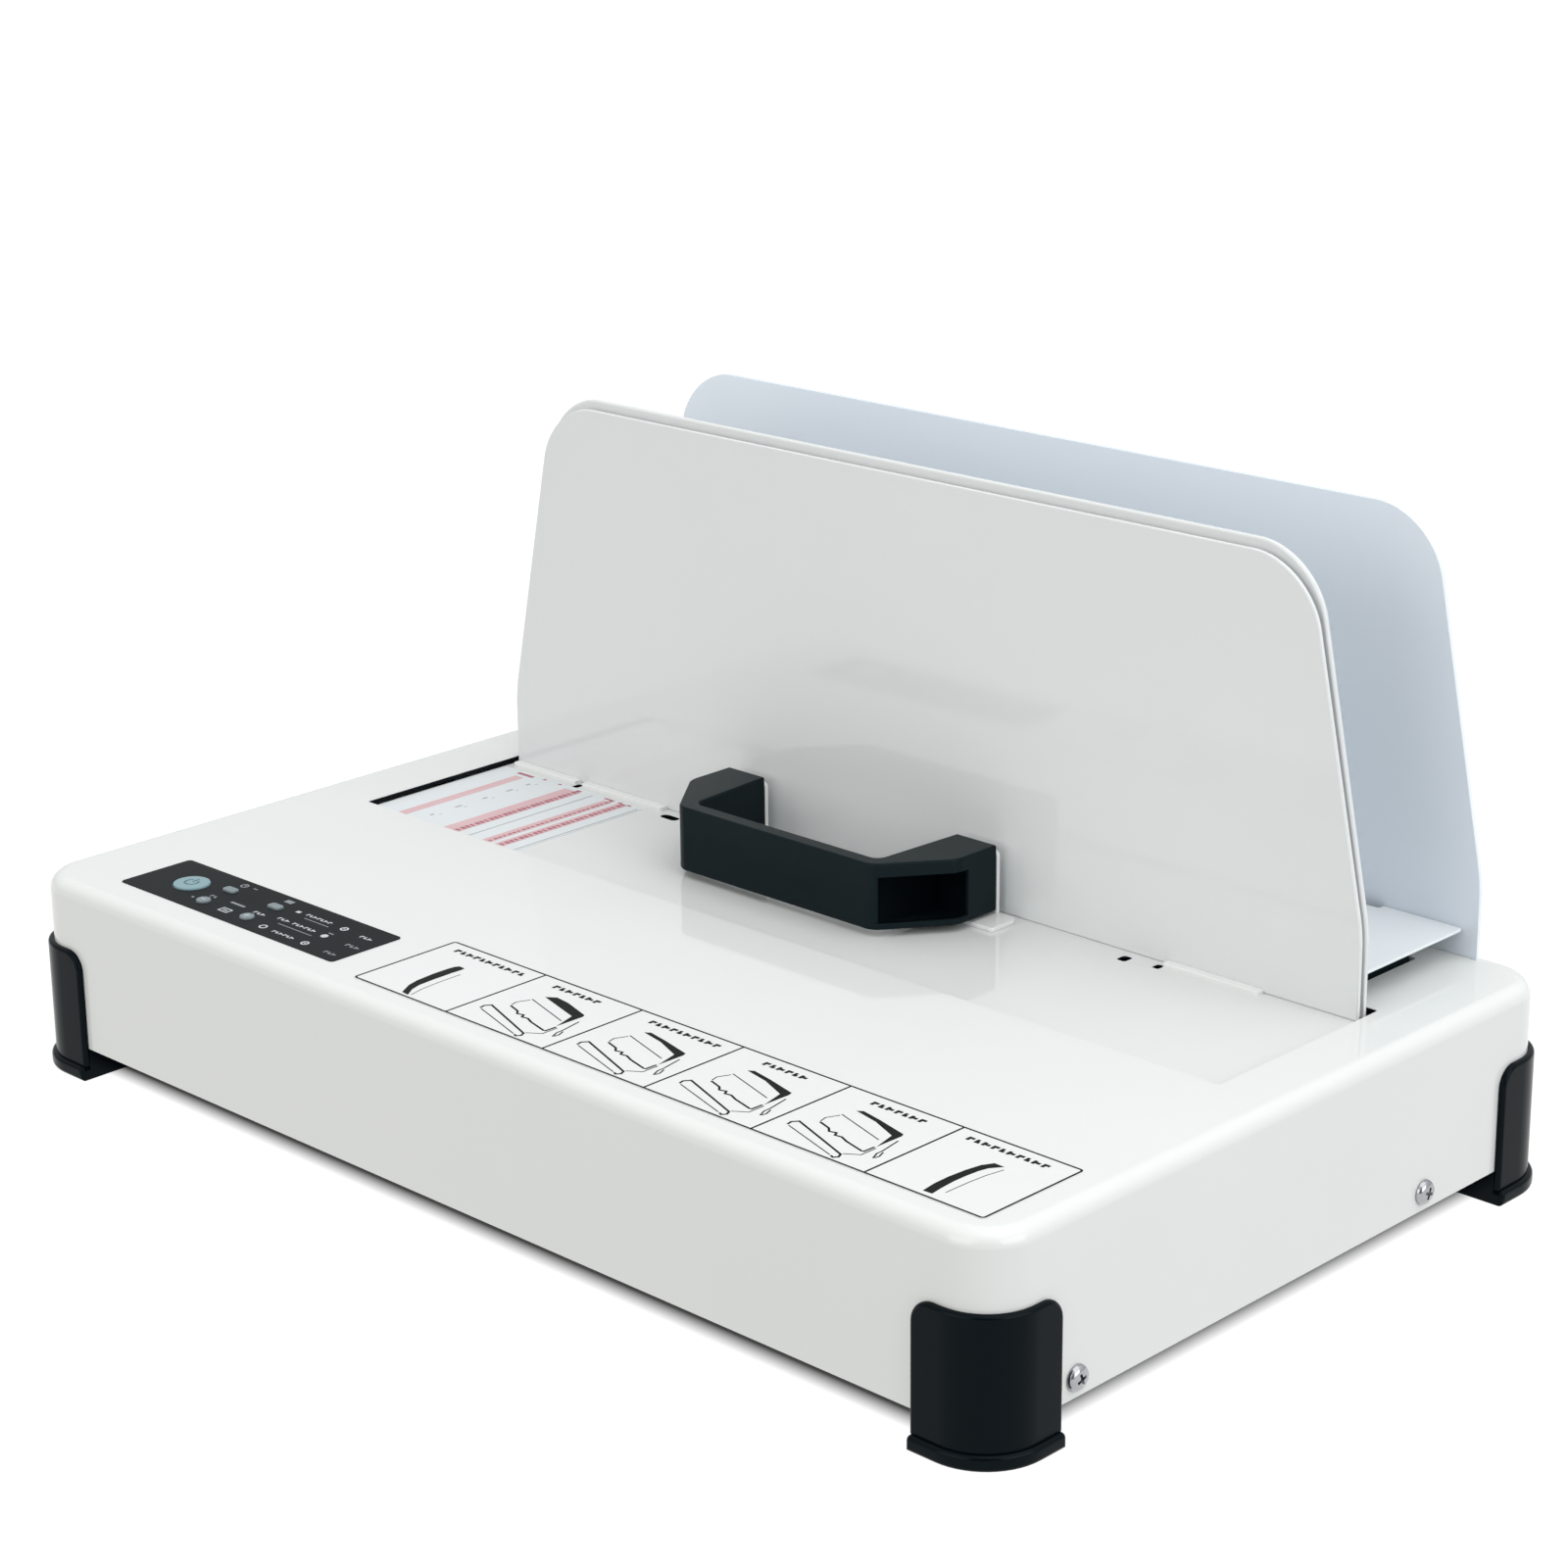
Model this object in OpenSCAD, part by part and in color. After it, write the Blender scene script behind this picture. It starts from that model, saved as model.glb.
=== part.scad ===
// Thermal binding machine: sheet metal housing with a sliding jaw, a fixed rear plate and a heated book rest.
// Origin on the table under the middle of the machine, +X to the right, +Y to the back, +Z up, millimetres.

/* [Housing] */
// Width of the housing
housing_w = 430; // [410:1:480]
// Depth of the housing, front to back
housing_d = 264; // [258:1:300]
// Height of the housing without its feet
housing_h = 57.5; // [56:0.5:70]
// Radius of the upright corners
corner_r = 17; // [12:0.5:18]
// Radius of the top edges
edge_r = 5; // [3:0.5:6]
// Sheet thickness of the cover and the pan
sheet_t = 1.5; // [1:0.1:1.8]
// Distance of the front side screw from the front face
side_screw_front = 35; // [32:1:60]
// Distance of the rear side screw from the rear face
side_screw_rear = 66; // [32:1:90]
// Height of the side screws above the underside of the housing
side_screw_rise = 6.2; // [5.5:0.1:9]
// Thread diameter of all machine screws
screw_d = 4; // [3:0.1:4]
// Diameter of the pan heads
screw_head_d = 8; // [6.5:0.1:8]
// Height of the pan heads
screw_head_h = 2.4; // [1.8:0.1:2.6]

/* [Feet] */
// Height of the housing above the table
foot_drop = 11; // [10:0.5:16]
// Length of each foot wall along the housing, from the sharp corner
foot_leg = 27.5; // [26:0.5:32]
// Height of the foot wall above the underside of the housing
foot_rise = 34.5; // [28:0.5:42]
// Thickness of the foot wall
foot_wall = 2; // [1.6:0.1:3]
// How far the bottom lip stands out of the wall
foot_lip = 1.6; // [1:0.1:3]
// Height of the bottom lip
foot_lip_h = 5; // [3:0.5:7]
// Radius of the top ears of the wall
foot_ear_r = 7; // [4:0.5:9]
// Reach of the foot pad under the housing, from the sharp corner
foot_pad = 27.5; // [26:0.5:42]

/* [Jaw opening] */
// Width of the opening in the top
opening_w = 380; // [378.5:0.5:384]
// Depth of the opening for the jaw
opening_d = 78; // [76:0.5:84]
// Shift of the opening and the plates to the right
opening_shift = 3; // [0:0.5:5]

/* [Plates] */
// Width of the plates at their foot
plate_w = 376; // [368:0.5:377]
// Width of the plates at their top edge, before the corners are rounded
plate_top_w = 329; // [310:1:350]
// Height of the upright foot of the side edges above the housing
plate_kink = 26; // [20:0.5:34]
// Radius of the top corners of the plates
plate_corner_r = 26; // [16:0.5:36]
// Thickness of the front and rear plates
plate_t = 1.5; // [1.2:0.1:2]
// Thickness of the press plate
press_t = 2; // [1.5:0.1:2.5]
// Gap between the front plate and the press plate
plate_gap = 1.5; // [1:0.1:2.5]
// Height of the front plate above the housing
front_plate_h = 137; // [125:0.5:150]
// Height of the press plate above the housing
press_plate_h = 140; // [125:0.5:150]
// Height of the rear plate above the housing
rear_plate_h = 140.5; // [125:0.5:155]
// Distance of the front of the rear plate from the rear face of the housing
rear_plate_in = 6.25; // [6:0.25:12]
// How much narrower the rear plate is on its left side
rear_plate_trim = 6; // [0:0.5:10]
// Clear width of the book slot with the jaw pushed back
slot_w = 58; // [56:0.5:66]
// Gap from the press plate to the rear edge of the opening
press_gap = 2.75; // [1.5:0.25:4]
// Width of the tabs that hold the rear plate
tab_w = 40; // [30:1:50]
// Distance of the tabs from the middle of the plate
tab_x = 150; // [135:1:155]

/* [Jaw] */
// Travel of the jaw towards the front
jaw_travel = 50; // [30:1:52]
// Thickness of the jaw floor
floor_t = 1.5; // [1.2:0.1:2]
// Gap from the underside of the cover to the jaw floor
floor_gap = 0.6; // [0.5:0.1:1]
// How far the floor reaches under the front of the cover
floor_tuck = 15; // [10:1:20]
// Diameter of the guide rods
rod_d = 8; // [6:0.5:10]
// Distance of each guide rod from the middle of the plates
rod_x = 140; // [120:1:150]
// Depth of the rod axis under the jaw floor
rod_drop = 12.9; // [11:0.1:15]
// Length of the slide blocks
block_l = 30; // [20:1:34]
// Width of the slide blocks and of the rod holders
block_w = 24; // [20:1:30]
// Length of the rod holders
holder_l = 8; // [6:0.5:10]

/* [Handle] */
// Overall width of the handle
handle_w = 122; // [110:1:130]
// Width of the straight front bar
handle_bar_w = 87.6; // [80:0.2:92]
// Reach of the handle from its bracket to the front of the bar
handle_reach = 41.5; // [36:0.5:46]
// Height of the handle
handle_h = 22.6; // [18:0.2:26]
// Thickness of the front bar
handle_bar_t = 5.8; // [5:0.1:8]
// Width of each leg at the bracket
handle_leg_w = 17.3; // [15:0.1:19]
// Length of the straight outer side of each leg
handle_side = 19; // [15:0.5:22]
// Sideways place of the middle of the handle
handle_x = -8.7; // [-12:0.1:10]
// Gap between the handle bracket and the front plate
handle_gap = 3.5; // [3.3:0.1:5]
// Thickness of the handle bracket
bracket_t = 1.5; // [1.2:0.1:2]

/* [Heater] */
// Height of the book rest above the housing
rest_rise = 9.5; // [7:0.5:12]
// Length of the book rest
rest_w = 365.5; // [340:0.5:370]
// Thickness of the book rest
rest_t = 1; // [0.8:0.1:2]
// Radius of the corners of the book rest
rest_r = 1.5; // [1:0.5:5]
// Length of the heater frame under the book rest
heater_w = 344; // [320:1:346]
// Depth of the heater frame
heater_d = 40.5; // [38:0.5:47]
// Wall of the heater frame
heater_wall = 4; // [3:0.5:5]
// Depth of the heater frame under the book rest
heater_h = 20; // [18:0.5:24]

/* [Controls] */
// Width of the control panel
panel_w = 111; // [108:1:116]
// Depth of the control panel
panel_d = 29; // [28:0.5:32]
// Distance of the control panel from the left face
panel_left = 32.4; // [28:0.2:40]
// Distance of the control panel from the front face
panel_front = 14; // [12:0.5:18]
// Diameter of the round power key
power_key_d = 12.5; // [11:0.5:14]
// Diameter of the small round keys
small_key_d = 5; // [4:0.5:5.5]
// Width of the oblong keys
bar_key_w = 5.6; // [5:0.2:8]
// Depth of the oblong keys
bar_key_d = 3.4; // [3:0.2:4.6]
// Travel of every key
key_travel = 0.8; // [0.4:0.1:0.9]
// Thickness of the printed films
film_t = 0.3; // [0.2:0.05:0.4]

/* [Labels] */
// Gap between the control panel and the instruction film
strip_gap = 15.2; // [10:0.2:25]
// Depth of the instruction film
strip_d = 42; // [38:0.5:44]
// Distance of the instruction film from the right face
strip_right = 12; // [8:0.5:20]
// Distance of the instruction film from the front face
strip_front = 10.2; // [8:0.2:16]
// Width of the paper label on the jaw floor
label_w = 73; // [50:1:76]

/* [Power inlet] */
// Sideways place of the mains inlet on the rear face
inlet_x = -80; // [-90:1:-70]
// Sideways place of the rocker switch on the rear face
switch_x = -35; // [-45:1:-20]
// Height of the inlet and the switch above the underside of the housing
inlet_rise = 27; // [25:0.5:30]
// Tilt of the rocker to each side
rocker_tilt = 7; // [4:0.5:8]

/* [Hidden] */
$fn = 48;
eps = 0.01;
cut = 1;
// Clearances
fit = 0.1;
run_fit = 0.05;
key_gap = 0.3;
pan_gap = 0.2;
// Levels
under_z = foot_drop;
top_z = foot_drop + housing_h;
inner_top_z = top_z - sheet_t;
pan_top_z = under_z + sheet_t;
floor_z = inner_top_z - floor_gap;
rod_z = floor_z - floor_t - rod_drop;
rest_z = top_z + rest_rise;
// Places along Y
front_y = -housing_d / 2;
rear_face_y = housing_d / 2;
rear_plate_y = rear_face_y - rear_plate_in;
press_y = rear_plate_y - slot_w - press_t;
front_plate_y = press_y - plate_gap - plate_t;
opening_rear_y = press_y + press_t + press_gap;
opening_y = opening_rear_y - opening_d;
ear_y = front_plate_y - handle_gap - bracket_t;
block_y = front_plate_y - block_l - 5;
holder_gap = 0.3;
rear_holder_y = block_y + block_l + holder_gap;
front_holder_y = block_y - jaw_travel - holder_gap - holder_l;
// Handle
handle_z = top_z + 0.4;
handle_wall_low = 2.3;
handle_wall_top = 4.6;
handle_post = 14;
bracket_foot = 8;
bracket_depth = 13;
ear_h = 20;
// Heater
heater_y = opening_rear_y + 2.5;
heater_gap = 1.2;
heater_floor_t = 3;
element_t = 3;
element_margin = 2;
wool_t = 6;
rest_front_gap = 3.5;
rest_rear_gap = 0.3;
rest_step = 2.5;
rest_tab = 30;
thermostat_d = 16;
thermostat_h = 8;
fuse_d = 5;
fuse_l = 24;
leg_w = 24;
leg_foot = 18;
leg_x = 120;
// Rear plate support
support_h = 46;
support_foot = 14;
tab_down = 30;
tab_screw_x = 12;
// Screws
screw_l = 8;
screw_hole = screw_d + 0.4;
thread_hole = screw_d + 0.1;
boss_d = 9;
boss_h = 5;
foot_hole = 18;
foot_screw_z = 3;
// Pan
pan_flange_h = 14;
vent_n = 8;
vent_l = 40;
vent_w = 4;
vent_gap = 8;
vent_in = 25;
// Control panel, from its front left corner
panel_x = -housing_w / 2 + panel_left;
panel_y = front_y + panel_front;
strip_w = housing_w - panel_left - panel_w - strip_gap - strip_right;
power_key_at = [20, 14.5];
time_key_at = [34.8, 19.3];
heat_key_at = [58.5, 19.3];
less_key_at = [35.9, 7.2];
more_key_at = [59, 7.2];
key_rise = 0.6;
key_flange = 1.2;
key_flange_t = 1;
key_flange_gap = 0.35;
key_stem = 3;
board_t = 1.6;
board_margin = 3;
post_d = 5;
post_in = 3.5;
tact_w = 6;
tact_h = 3;
tact_plunger_d = 3.4;
key_top_z = top_z + film_t + key_rise;
key_low_z = inner_top_z - key_stem;
tact_top_z = key_low_z - key_travel - 0.1;
board_z = tact_top_z - tact_h - 1 - board_t;
// Jaw floor details, from the middle of the opening and forward from the front plate
floor_side_gap = 0.5;
label_left = 1;
label_front = 1;
label_back_gap = 5.75;
mark_slot_at = [-102, 5.75];
mark_slot = [8, 3.6];
mark_holes_at = [[-152, 2.35, 1.3], [115.3, 4.35, 1.3], [103, 6.05, 1.8]];
tab_depth = 5;
plate_tabs = [[-187, 33.4], [-150.4, 41.4], [116, 37]];
spacer_d = 14;
spacer_at = [[-150, 20], [-50, 20], [50, 20], [150, 20], [-130, 95], [-45, 95], [45, 95], [130, 95]];
// Power parts
power_board = [110, 62];
power_board_in = 24;
power_board_at = [10, front_y + power_board_in];
board_hole_in = 5;
standoff_h = 8;
standoff_d = 6;
relay = [22, 16, 17];
choke_d = 26;
choke_h = 14;
choke_at = [72, 30];
relay_at = [14, 22];
inlet_z = under_z + inlet_rise;
inlet_face = [33, 26, 2];
inlet_body = [27.6, 20.6, 16];
inlet_cavity = [24.4, 16.6, 14];
inlet_chamfer = 5;
pin_size = [2, 8.5, 4];
pin_row = 7;
pin_offset = 2;
switch_face = [17, 24, 1.6];
switch_body = [14.6, 21, 15];
rocker = [11, 16.8];
rocker_gap = 0.4;
rocker_end_gap = 0.9;
rocker_proud = 0;
pivot_d = 3;
pivot_l = 1.2;
pivot_in = 3;
pivot_y = rear_face_y + switch_face[2] - pivot_in;
arc_steps = 20;

// Flat rectangle with round corners, centred
module round_rect(w, d, r) {
  square([w - 2 * r, d], center = true);
  square([w, d - 2 * r], center = true);
  for (sx = [-1, 1], sy = [-1, 1])
    translate([sx * (w / 2 - r), sy * (d / 2 - r)])
      circle(r);
}

// Upright section of the housing with round top corners
module top_section(w, h, e) {
  translate([-w / 2, 0]) square([w, h - e]);
  translate([-w / 2 + e, 0]) square([w - 2 * e, h]);
  for (s = [-1, 1])
    translate([s * (w / 2 - e), h - e])
      circle(e);
}

// Half section of an upright corner post with a round top edge
module post_section(r, h, e) {
  square([r, h - e]);
  square([r - e, h]);
  translate([r - e, h - e]) circle(e);
}

// Box with round upright corners and round top edges
module soft_box(w, d, h, r, e) {
  rotate([90, 0, 0]) linear_extrude(d - 2 * r, center = true) top_section(w, h, e);
  rotate([90, 0, 90]) linear_extrude(w - 2 * r, center = true) top_section(d, h, e);
  for (sx = [-1, 1], sy = [-1, 1])
    translate([sx * (w / 2 - r), sy * (d / 2 - r), 0])
      rotate_extrude() post_section(r, h, e);
}

// Round hole or pin along X, Y or Z through a point
module along_x(d, l) { rotate([0, 90, 0]) cylinder(d = d, h = l, center = true); }
module along_y(d, l) { rotate([90, 0, 0]) cylinder(d = d, h = l, center = true); }

// Side screw places
side_screw_ys = [front_y + side_screw_front, rear_face_y - side_screw_rear];
side_screw_z = under_z + side_screw_rise;

module at_side_screws() {
  for (s = [-1, 1], y = side_screw_ys)
    translate([s * housing_w / 2, y, side_screw_z])
      rotate([0, 0, s > 0 ? 0 : 180])
        children();
}

module at_feet() {
  for (sx = [-1, 1], sy = [-1, 1])
    translate([sx * (housing_w / 2 - foot_hole), sy * (housing_d / 2 - foot_hole), 0])
      children();
}

module at_key(offset) {
  translate([panel_x + offset[0], panel_y + offset[1], 0]) children();
}

module bar_key_shape(grow = 0) {
  square([bar_key_w + 2 * grow, bar_key_d + 2 * grow], center = true);
}

// Holes for all keys through a film or sheet between two heights
module key_holes(z, h) {
  translate([0, 0, z]) {
    at_key(power_key_at) cylinder(d = power_key_d + 2 * key_gap, h = h);
    for (k = [less_key_at, more_key_at])
      at_key(k) cylinder(d = small_key_d + 2 * key_gap, h = h);
    for (k = [time_key_at, heat_key_at])
      at_key(k) linear_extrude(h) bar_key_shape(key_gap);
  }
}

module housing_cover() {
  color("whitesmoke") difference() {
    translate([0, 0, under_z]) soft_box(housing_w, housing_d, housing_h, corner_r, edge_r);
    translate([0, 0, under_z - cut])
      soft_box(housing_w - 2 * sheet_t, housing_d - 2 * sheet_t, housing_h - sheet_t + cut,
               corner_r - sheet_t, edge_r - sheet_t);
    translate([opening_shift - opening_w / 2, opening_y, inner_top_z - cut])
      cube([opening_w, opening_d, sheet_t + 2 * cut]);
    translate([opening_shift - heater_w / 2 - heater_gap, opening_rear_y - cut, inner_top_z - cut])
      cube([heater_w + 2 * heater_gap, heater_y - opening_rear_y + heater_d + heater_gap + cut,
            sheet_t + 2 * cut]);
    for (s = [-1, 1])
      translate([opening_shift + s * tab_x - tab_w / 2 - fit, rear_plate_y - fit, inner_top_z - cut])
        cube([tab_w + 2 * fit, plate_t + 2 * fit, sheet_t + 2 * cut]);
    key_holes(inner_top_z - cut, sheet_t + 2 * cut);
    at_side_screws() along_x(screw_hole, 4 * sheet_t);
    translate([inlet_x, rear_face_y - sheet_t / 2, inlet_z])
      cube([inlet_body[0] + 2 * fit, 4 * sheet_t, inlet_body[1] + 2 * fit], center = true);
    translate([switch_x, rear_face_y - sheet_t / 2, inlet_z])
      cube([switch_body[0] + 2 * fit, 4 * sheet_t, switch_body[1] + 2 * fit], center = true);
  }
}

module base_pan() {
  pan_w = housing_w - 2 * sheet_t - 2 * pan_gap;
  pan_d = housing_d - 2 * sheet_t - 2 * pan_gap;
  color("gainsboro") difference() {
    union() {
      translate([0, 0, under_z])
        linear_extrude(sheet_t) round_rect(pan_w, pan_d, corner_r - sheet_t - pan_gap);
      for (s = [-1, 1])
        translate([s * (pan_w / 2 - sheet_t / 2), 0, under_z + pan_flange_h / 2])
          cube([sheet_t, housing_d - 3 * corner_r, pan_flange_h], center = true);
      at_feet() translate([0, 0, under_z]) cylinder(d = boss_d, h = boss_h);
    }
    at_feet() translate([0, 0, under_z - cut]) cylinder(d = thread_hole, h = boss_h + 2 * cut);
    at_side_screws() along_x(thread_hole, 6 * sheet_t);
    for (i = [0 : vent_n - 1])
      translate([(i - (vent_n - 1) / 2) * (vent_l + vent_gap) - vent_l / 2, heater_y + vent_in,
                 under_z - cut])
        cube([vent_l, vent_w, sheet_t + 2 * cut]);
  }
}

// Plan of the rear right corner of the housing, grown outwards, with two legs
module corner_plan(leg, grow) {
  reach = corner_r + grow;
  translate([-leg, -leg]) square([leg + grow, leg - corner_r]);
  translate([-leg, -leg]) square([leg - corner_r, leg + grow]);
  translate([-corner_r, -corner_r]) intersection() {
    circle(reach);
    square(reach);
  }
}

// Cuts one round ear off the upper end of a foot wall that runs along X
module ear_cut(top) {
  translate([-foot_leg - cut, -foot_leg, top - foot_ear_r]) difference() {
    cube([foot_ear_r + cut, 2 * foot_leg, foot_ear_r + cut]);
    translate([foot_ear_r + cut, foot_leg, 0]) along_y(2 * foot_ear_r, 4 * foot_leg);
  }
}

module foot(sx, sy) {
  top = foot_drop + foot_rise;
  outer = fit + foot_wall;
  color([0.12, 0.13, 0.14])
    translate([sx * housing_w / 2, sy * housing_d / 2, 0])
      mirror([sx > 0 ? 0 : 1, 0, 0]) mirror([0, sy > 0 ? 0 : 1, 0])
        difference() {
          union() {
            linear_extrude(top) difference() {
              corner_plan(foot_leg, outer);
              corner_plan(foot_leg + cut, fit);
            }
            linear_extrude(foot_drop) corner_plan(foot_pad, outer - foot_wall);
            linear_extrude(foot_lip_h) corner_plan(foot_leg, outer + foot_lip);
          }
          intersection() {
            ear_cut(top);
            translate([-2 * foot_leg, fit / 2, 0]) cube([3 * foot_leg, foot_leg, 2 * top]);
          }
          intersection() {
            mirror([1, -1, 0]) ear_cut(top);
            translate([fit / 2, -2 * foot_leg, 0]) cube([foot_leg, 3 * foot_leg, 2 * top]);
          }
          translate([-foot_hole, -foot_hole, -cut]) cylinder(d = screw_hole, h = foot_drop + 2 * cut);
          translate([-foot_hole, -foot_hole, -cut])
            cylinder(d = screw_head_d + 1, h = foot_screw_z + screw_head_h + cut);
        }
}

module foot_front_left() { foot(-1, -1); }
module foot_front_right() { foot(1, -1); }
module foot_rear_left() { foot(-1, 1); }
module foot_rear_right() { foot(1, 1); }

// Pan head screw with its head towards +X and the seat of the head at the origin
module screw_x(l) {
  rotate([0, 90, 0]) cylinder(d = screw_head_d, h = screw_head_h);
  translate([-l / 2, 0, 0]) along_x(screw_d, l);
}

module foot_screws() {
  seat_z = foot_screw_z + screw_head_h;
  color("silver") at_feet()
    translate([0, 0, seat_z]) rotate([0, 90, 0]) screw_x(foot_drop - seat_z + boss_h);
}

module cover_screws() {
  color("silver") at_side_screws() screw_x(screw_l);
}

module control_overlay() {
  color([0.2, 0.21, 0.23]) difference() {
    translate([panel_x + panel_w / 2, panel_y + panel_d / 2, top_z])
      linear_extrude(film_t) round_rect(panel_w, panel_d, 1.5);
    key_holes(top_z - cut, film_t + 2 * cut);
  }
}

module control_board() {
  color("darkgreen")
    translate([panel_x + board_margin, panel_y + board_margin, board_z])
      cube([panel_w - 2 * board_margin, panel_d - 2 * board_margin, board_t]);
}

module board_posts() {
  reach = board_margin + post_in;
  color("white")
    for (x = [reach, panel_w - reach], y = [reach, panel_d - reach])
      translate([panel_x + x, panel_y + y, board_z + board_t])
        cylinder(d = post_d, h = inner_top_z - board_z - board_t);
}

module key_switches() {
  color([0.15, 0.15, 0.15])
    for (k = [power_key_at, time_key_at, heat_key_at, less_key_at, more_key_at])
      at_key(k) translate([0, 0, board_z + board_t]) {
        translate([-tact_w / 2, -tact_w / 2, 0]) cube([tact_w, tact_w, tact_h]);
        cylinder(d = tact_plunger_d, h = tact_top_z - board_z - board_t);
      }
}

// Round key cap with a flange under the sheet
module round_key(d) {
  translate([0, 0, key_low_z]) cylinder(d = d, h = key_top_z - key_low_z);
  translate([0, 0, inner_top_z - key_flange_gap - key_flange_t])
    cylinder(d = d + 2 * key_flange, h = key_flange_t);
}

module bar_key() {
  translate([0, 0, key_low_z]) linear_extrude(key_top_z - key_low_z) bar_key_shape();
  translate([0, 0, inner_top_z - key_flange_gap - key_flange_t])
    linear_extrude(key_flange_t) bar_key_shape(key_flange);
}

module power_key() { color([0.69, 0.8, 0.84]) at_key(power_key_at) round_key(power_key_d); }
module time_key() { color([0.55, 0.58, 0.6]) at_key(time_key_at) bar_key(); }
module heat_key() { color([0.55, 0.6, 0.6]) at_key(heat_key_at) bar_key(); }
module less_key() { color([0.5, 0.52, 0.54]) at_key(less_key_at) round_key(small_key_d); }
module more_key() { color([0.5, 0.52, 0.54]) at_key(more_key_at) round_key(small_key_d); }

module instruction_film() {
  color("white")
    translate([housing_w / 2 - strip_right - strip_w, front_y + strip_front, top_z])
      cube([strip_w, strip_d, film_t]);
}

// Right half of the outline of a plate, from its foot to its top edge, with its left side trimmed
function plate_side(trim, foot, height) =
  let (low = (plate_w - trim) / 2, high = (plate_top_w - trim) / 2, run = height - plate_kink)
  let (len = sqrt(pow(low - high, 2) + pow(run, 2)))
  let (dx = (high - low) / len, dy = run / len, r = plate_corner_r)
  let (cy = height - r, cx = low - r * dy + dx * (cy - plate_kink - r * dx) / dy)
  let (start = atan2(-dx, dy))
  concat(
    [[low, -foot], [low, plate_kink]],
    [for (i = [0 : arc_steps])
      let (a = start + (90 - start) * i / arc_steps)
      [cx + r * cos(a), cy + r * sin(a)]]
  );

function mirrored(side) = [for (i = [len(side) - 1 : -1 : 0]) [-side[i][0], side[i][1]]];

// Upright plate whose foot reaches below the housing top
module tall_plate(y, t, foot, height, trim = 0) {
  side = plate_side(trim, foot, height);
  translate([opening_shift + trim / 2, y + t, top_z])
    rotate([90, 0, 0])
      linear_extrude(t) polygon(concat(side, mirrored(side)));
}

module rear_plate() {
  color("gainsboro") difference() {
    union() {
      tall_plate(rear_plate_y, plate_t, 0, rear_plate_h, rear_plate_trim);
      for (s = [-1, 1])
        translate([opening_shift + s * tab_x - tab_w / 2, rear_plate_y, top_z - tab_down])
          cube([tab_w, plate_t, tab_down + cut]);
    }
    at_tab_screws() along_y(screw_hole, 6 * plate_t);
  }
}

module at_tab_screws() {
  for (s = [-1, 1], k = [-1, 1])
    translate([opening_shift + s * tab_x + k * tab_screw_x, rear_plate_y + plate_t, top_z - tab_down + 10])
      children();
}

module rear_supports() {
  color("silver") difference() {
    for (s = [-1, 1])
      translate([opening_shift + s * tab_x - tab_w / 2, rear_plate_y - sheet_t, pan_top_z]) {
        cube([tab_w, sheet_t, support_h]);
        translate([0, -support_foot, 0]) cube([tab_w, support_foot + eps, sheet_t]);
      }
    at_tab_screws() along_y(thread_hole, 6 * plate_t);
  }
}

module rear_plate_screws() {
  color("silver") at_tab_screws() rotate([0, 0, 90]) screw_x(screw_l);
}

// Flat plate with a step along its rear edge between two end tabs
module book_rest() {
  y0 = opening_rear_y - press_gap + rest_front_gap;
  y1 = rear_plate_y - rest_rear_gap;
  depth = y1 - y0;
  color("white") translate([opening_shift, 0, rest_z - rest_t]) difference() {
    translate([0, y0 + depth / 2, 0]) linear_extrude(rest_t) round_rect(rest_w, depth, rest_r);
    translate([-rest_w / 2 + rest_tab, y1 - rest_step, -cut])
      cube([rest_w - 2 * rest_tab, rest_step + cut, rest_t + 2 * cut]);
  }
}

heater_top_z = rest_z - rest_t;
element_w = heater_w - 2 * heater_wall - 2 * element_margin;
element_d = heater_d - 2 * heater_wall - 2 * element_margin;

module heater_frame() {
  inner_w = heater_w - 2 * heater_wall;
  inner_d = heater_d - 2 * heater_wall;
  color([0.08, 0.08, 0.09])
    translate([opening_shift - heater_w / 2, heater_y, heater_top_z - heater_h]) difference() {
      cube([heater_w, heater_d, heater_h]);
      translate([heater_wall, heater_wall, heater_floor_t]) cube([inner_w, inner_d, heater_h]);
    }
}

module heating_element() {
  color("dimgray")
    translate([opening_shift - element_w / 2, heater_y + heater_wall + element_margin,
               heater_top_z - element_t])
      cube([element_w, element_d, element_t]);
}

module heat_shield() {
  color("ivory")
    translate([opening_shift - element_w / 2, heater_y + heater_wall + element_margin,
               heater_top_z - element_t - wool_t])
      cube([element_w, element_d, wool_t]);
}

module thermostat() {
  color([0.75, 0.72, 0.65])
    translate([opening_shift + 40, heater_y + heater_d / 2, heater_top_z - heater_h - thermostat_h])
      cylinder(d = thermostat_d, h = thermostat_h);
}

module thermal_fuse() {
  color("silver")
    translate([opening_shift - 40, heater_y + heater_d / 2, heater_top_z - heater_h - fuse_d / 2])
      along_x(fuse_d, fuse_l);
}

module heater_legs() {
  low = pan_top_z;
  tall = heater_top_z - heater_h - low;
  color("silver")
    for (s = [-1, 1])
      translate([opening_shift + s * leg_x - leg_w / 2, heater_y + leg_foot, low]) {
        cube([leg_w, sheet_t, tall]);
        translate([0, -leg_foot, 0]) cube([leg_w, leg_foot + eps, sheet_t]);
        translate([0, -leg_foot, tall - sheet_t]) cube([leg_w, leg_foot + eps, sheet_t]);
      }
}

module at_rods() {
  for (s = [-1, 1])
    translate([opening_shift + s * rod_x, 0, rod_z])
      children();
}

module guide_rods() {
  rod_l = rear_holder_y + holder_l - front_holder_y;
  color("lightsteelblue") at_rods() translate([0, front_holder_y + rod_l / 2, 0]) along_y(rod_d, rod_l);
}

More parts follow.
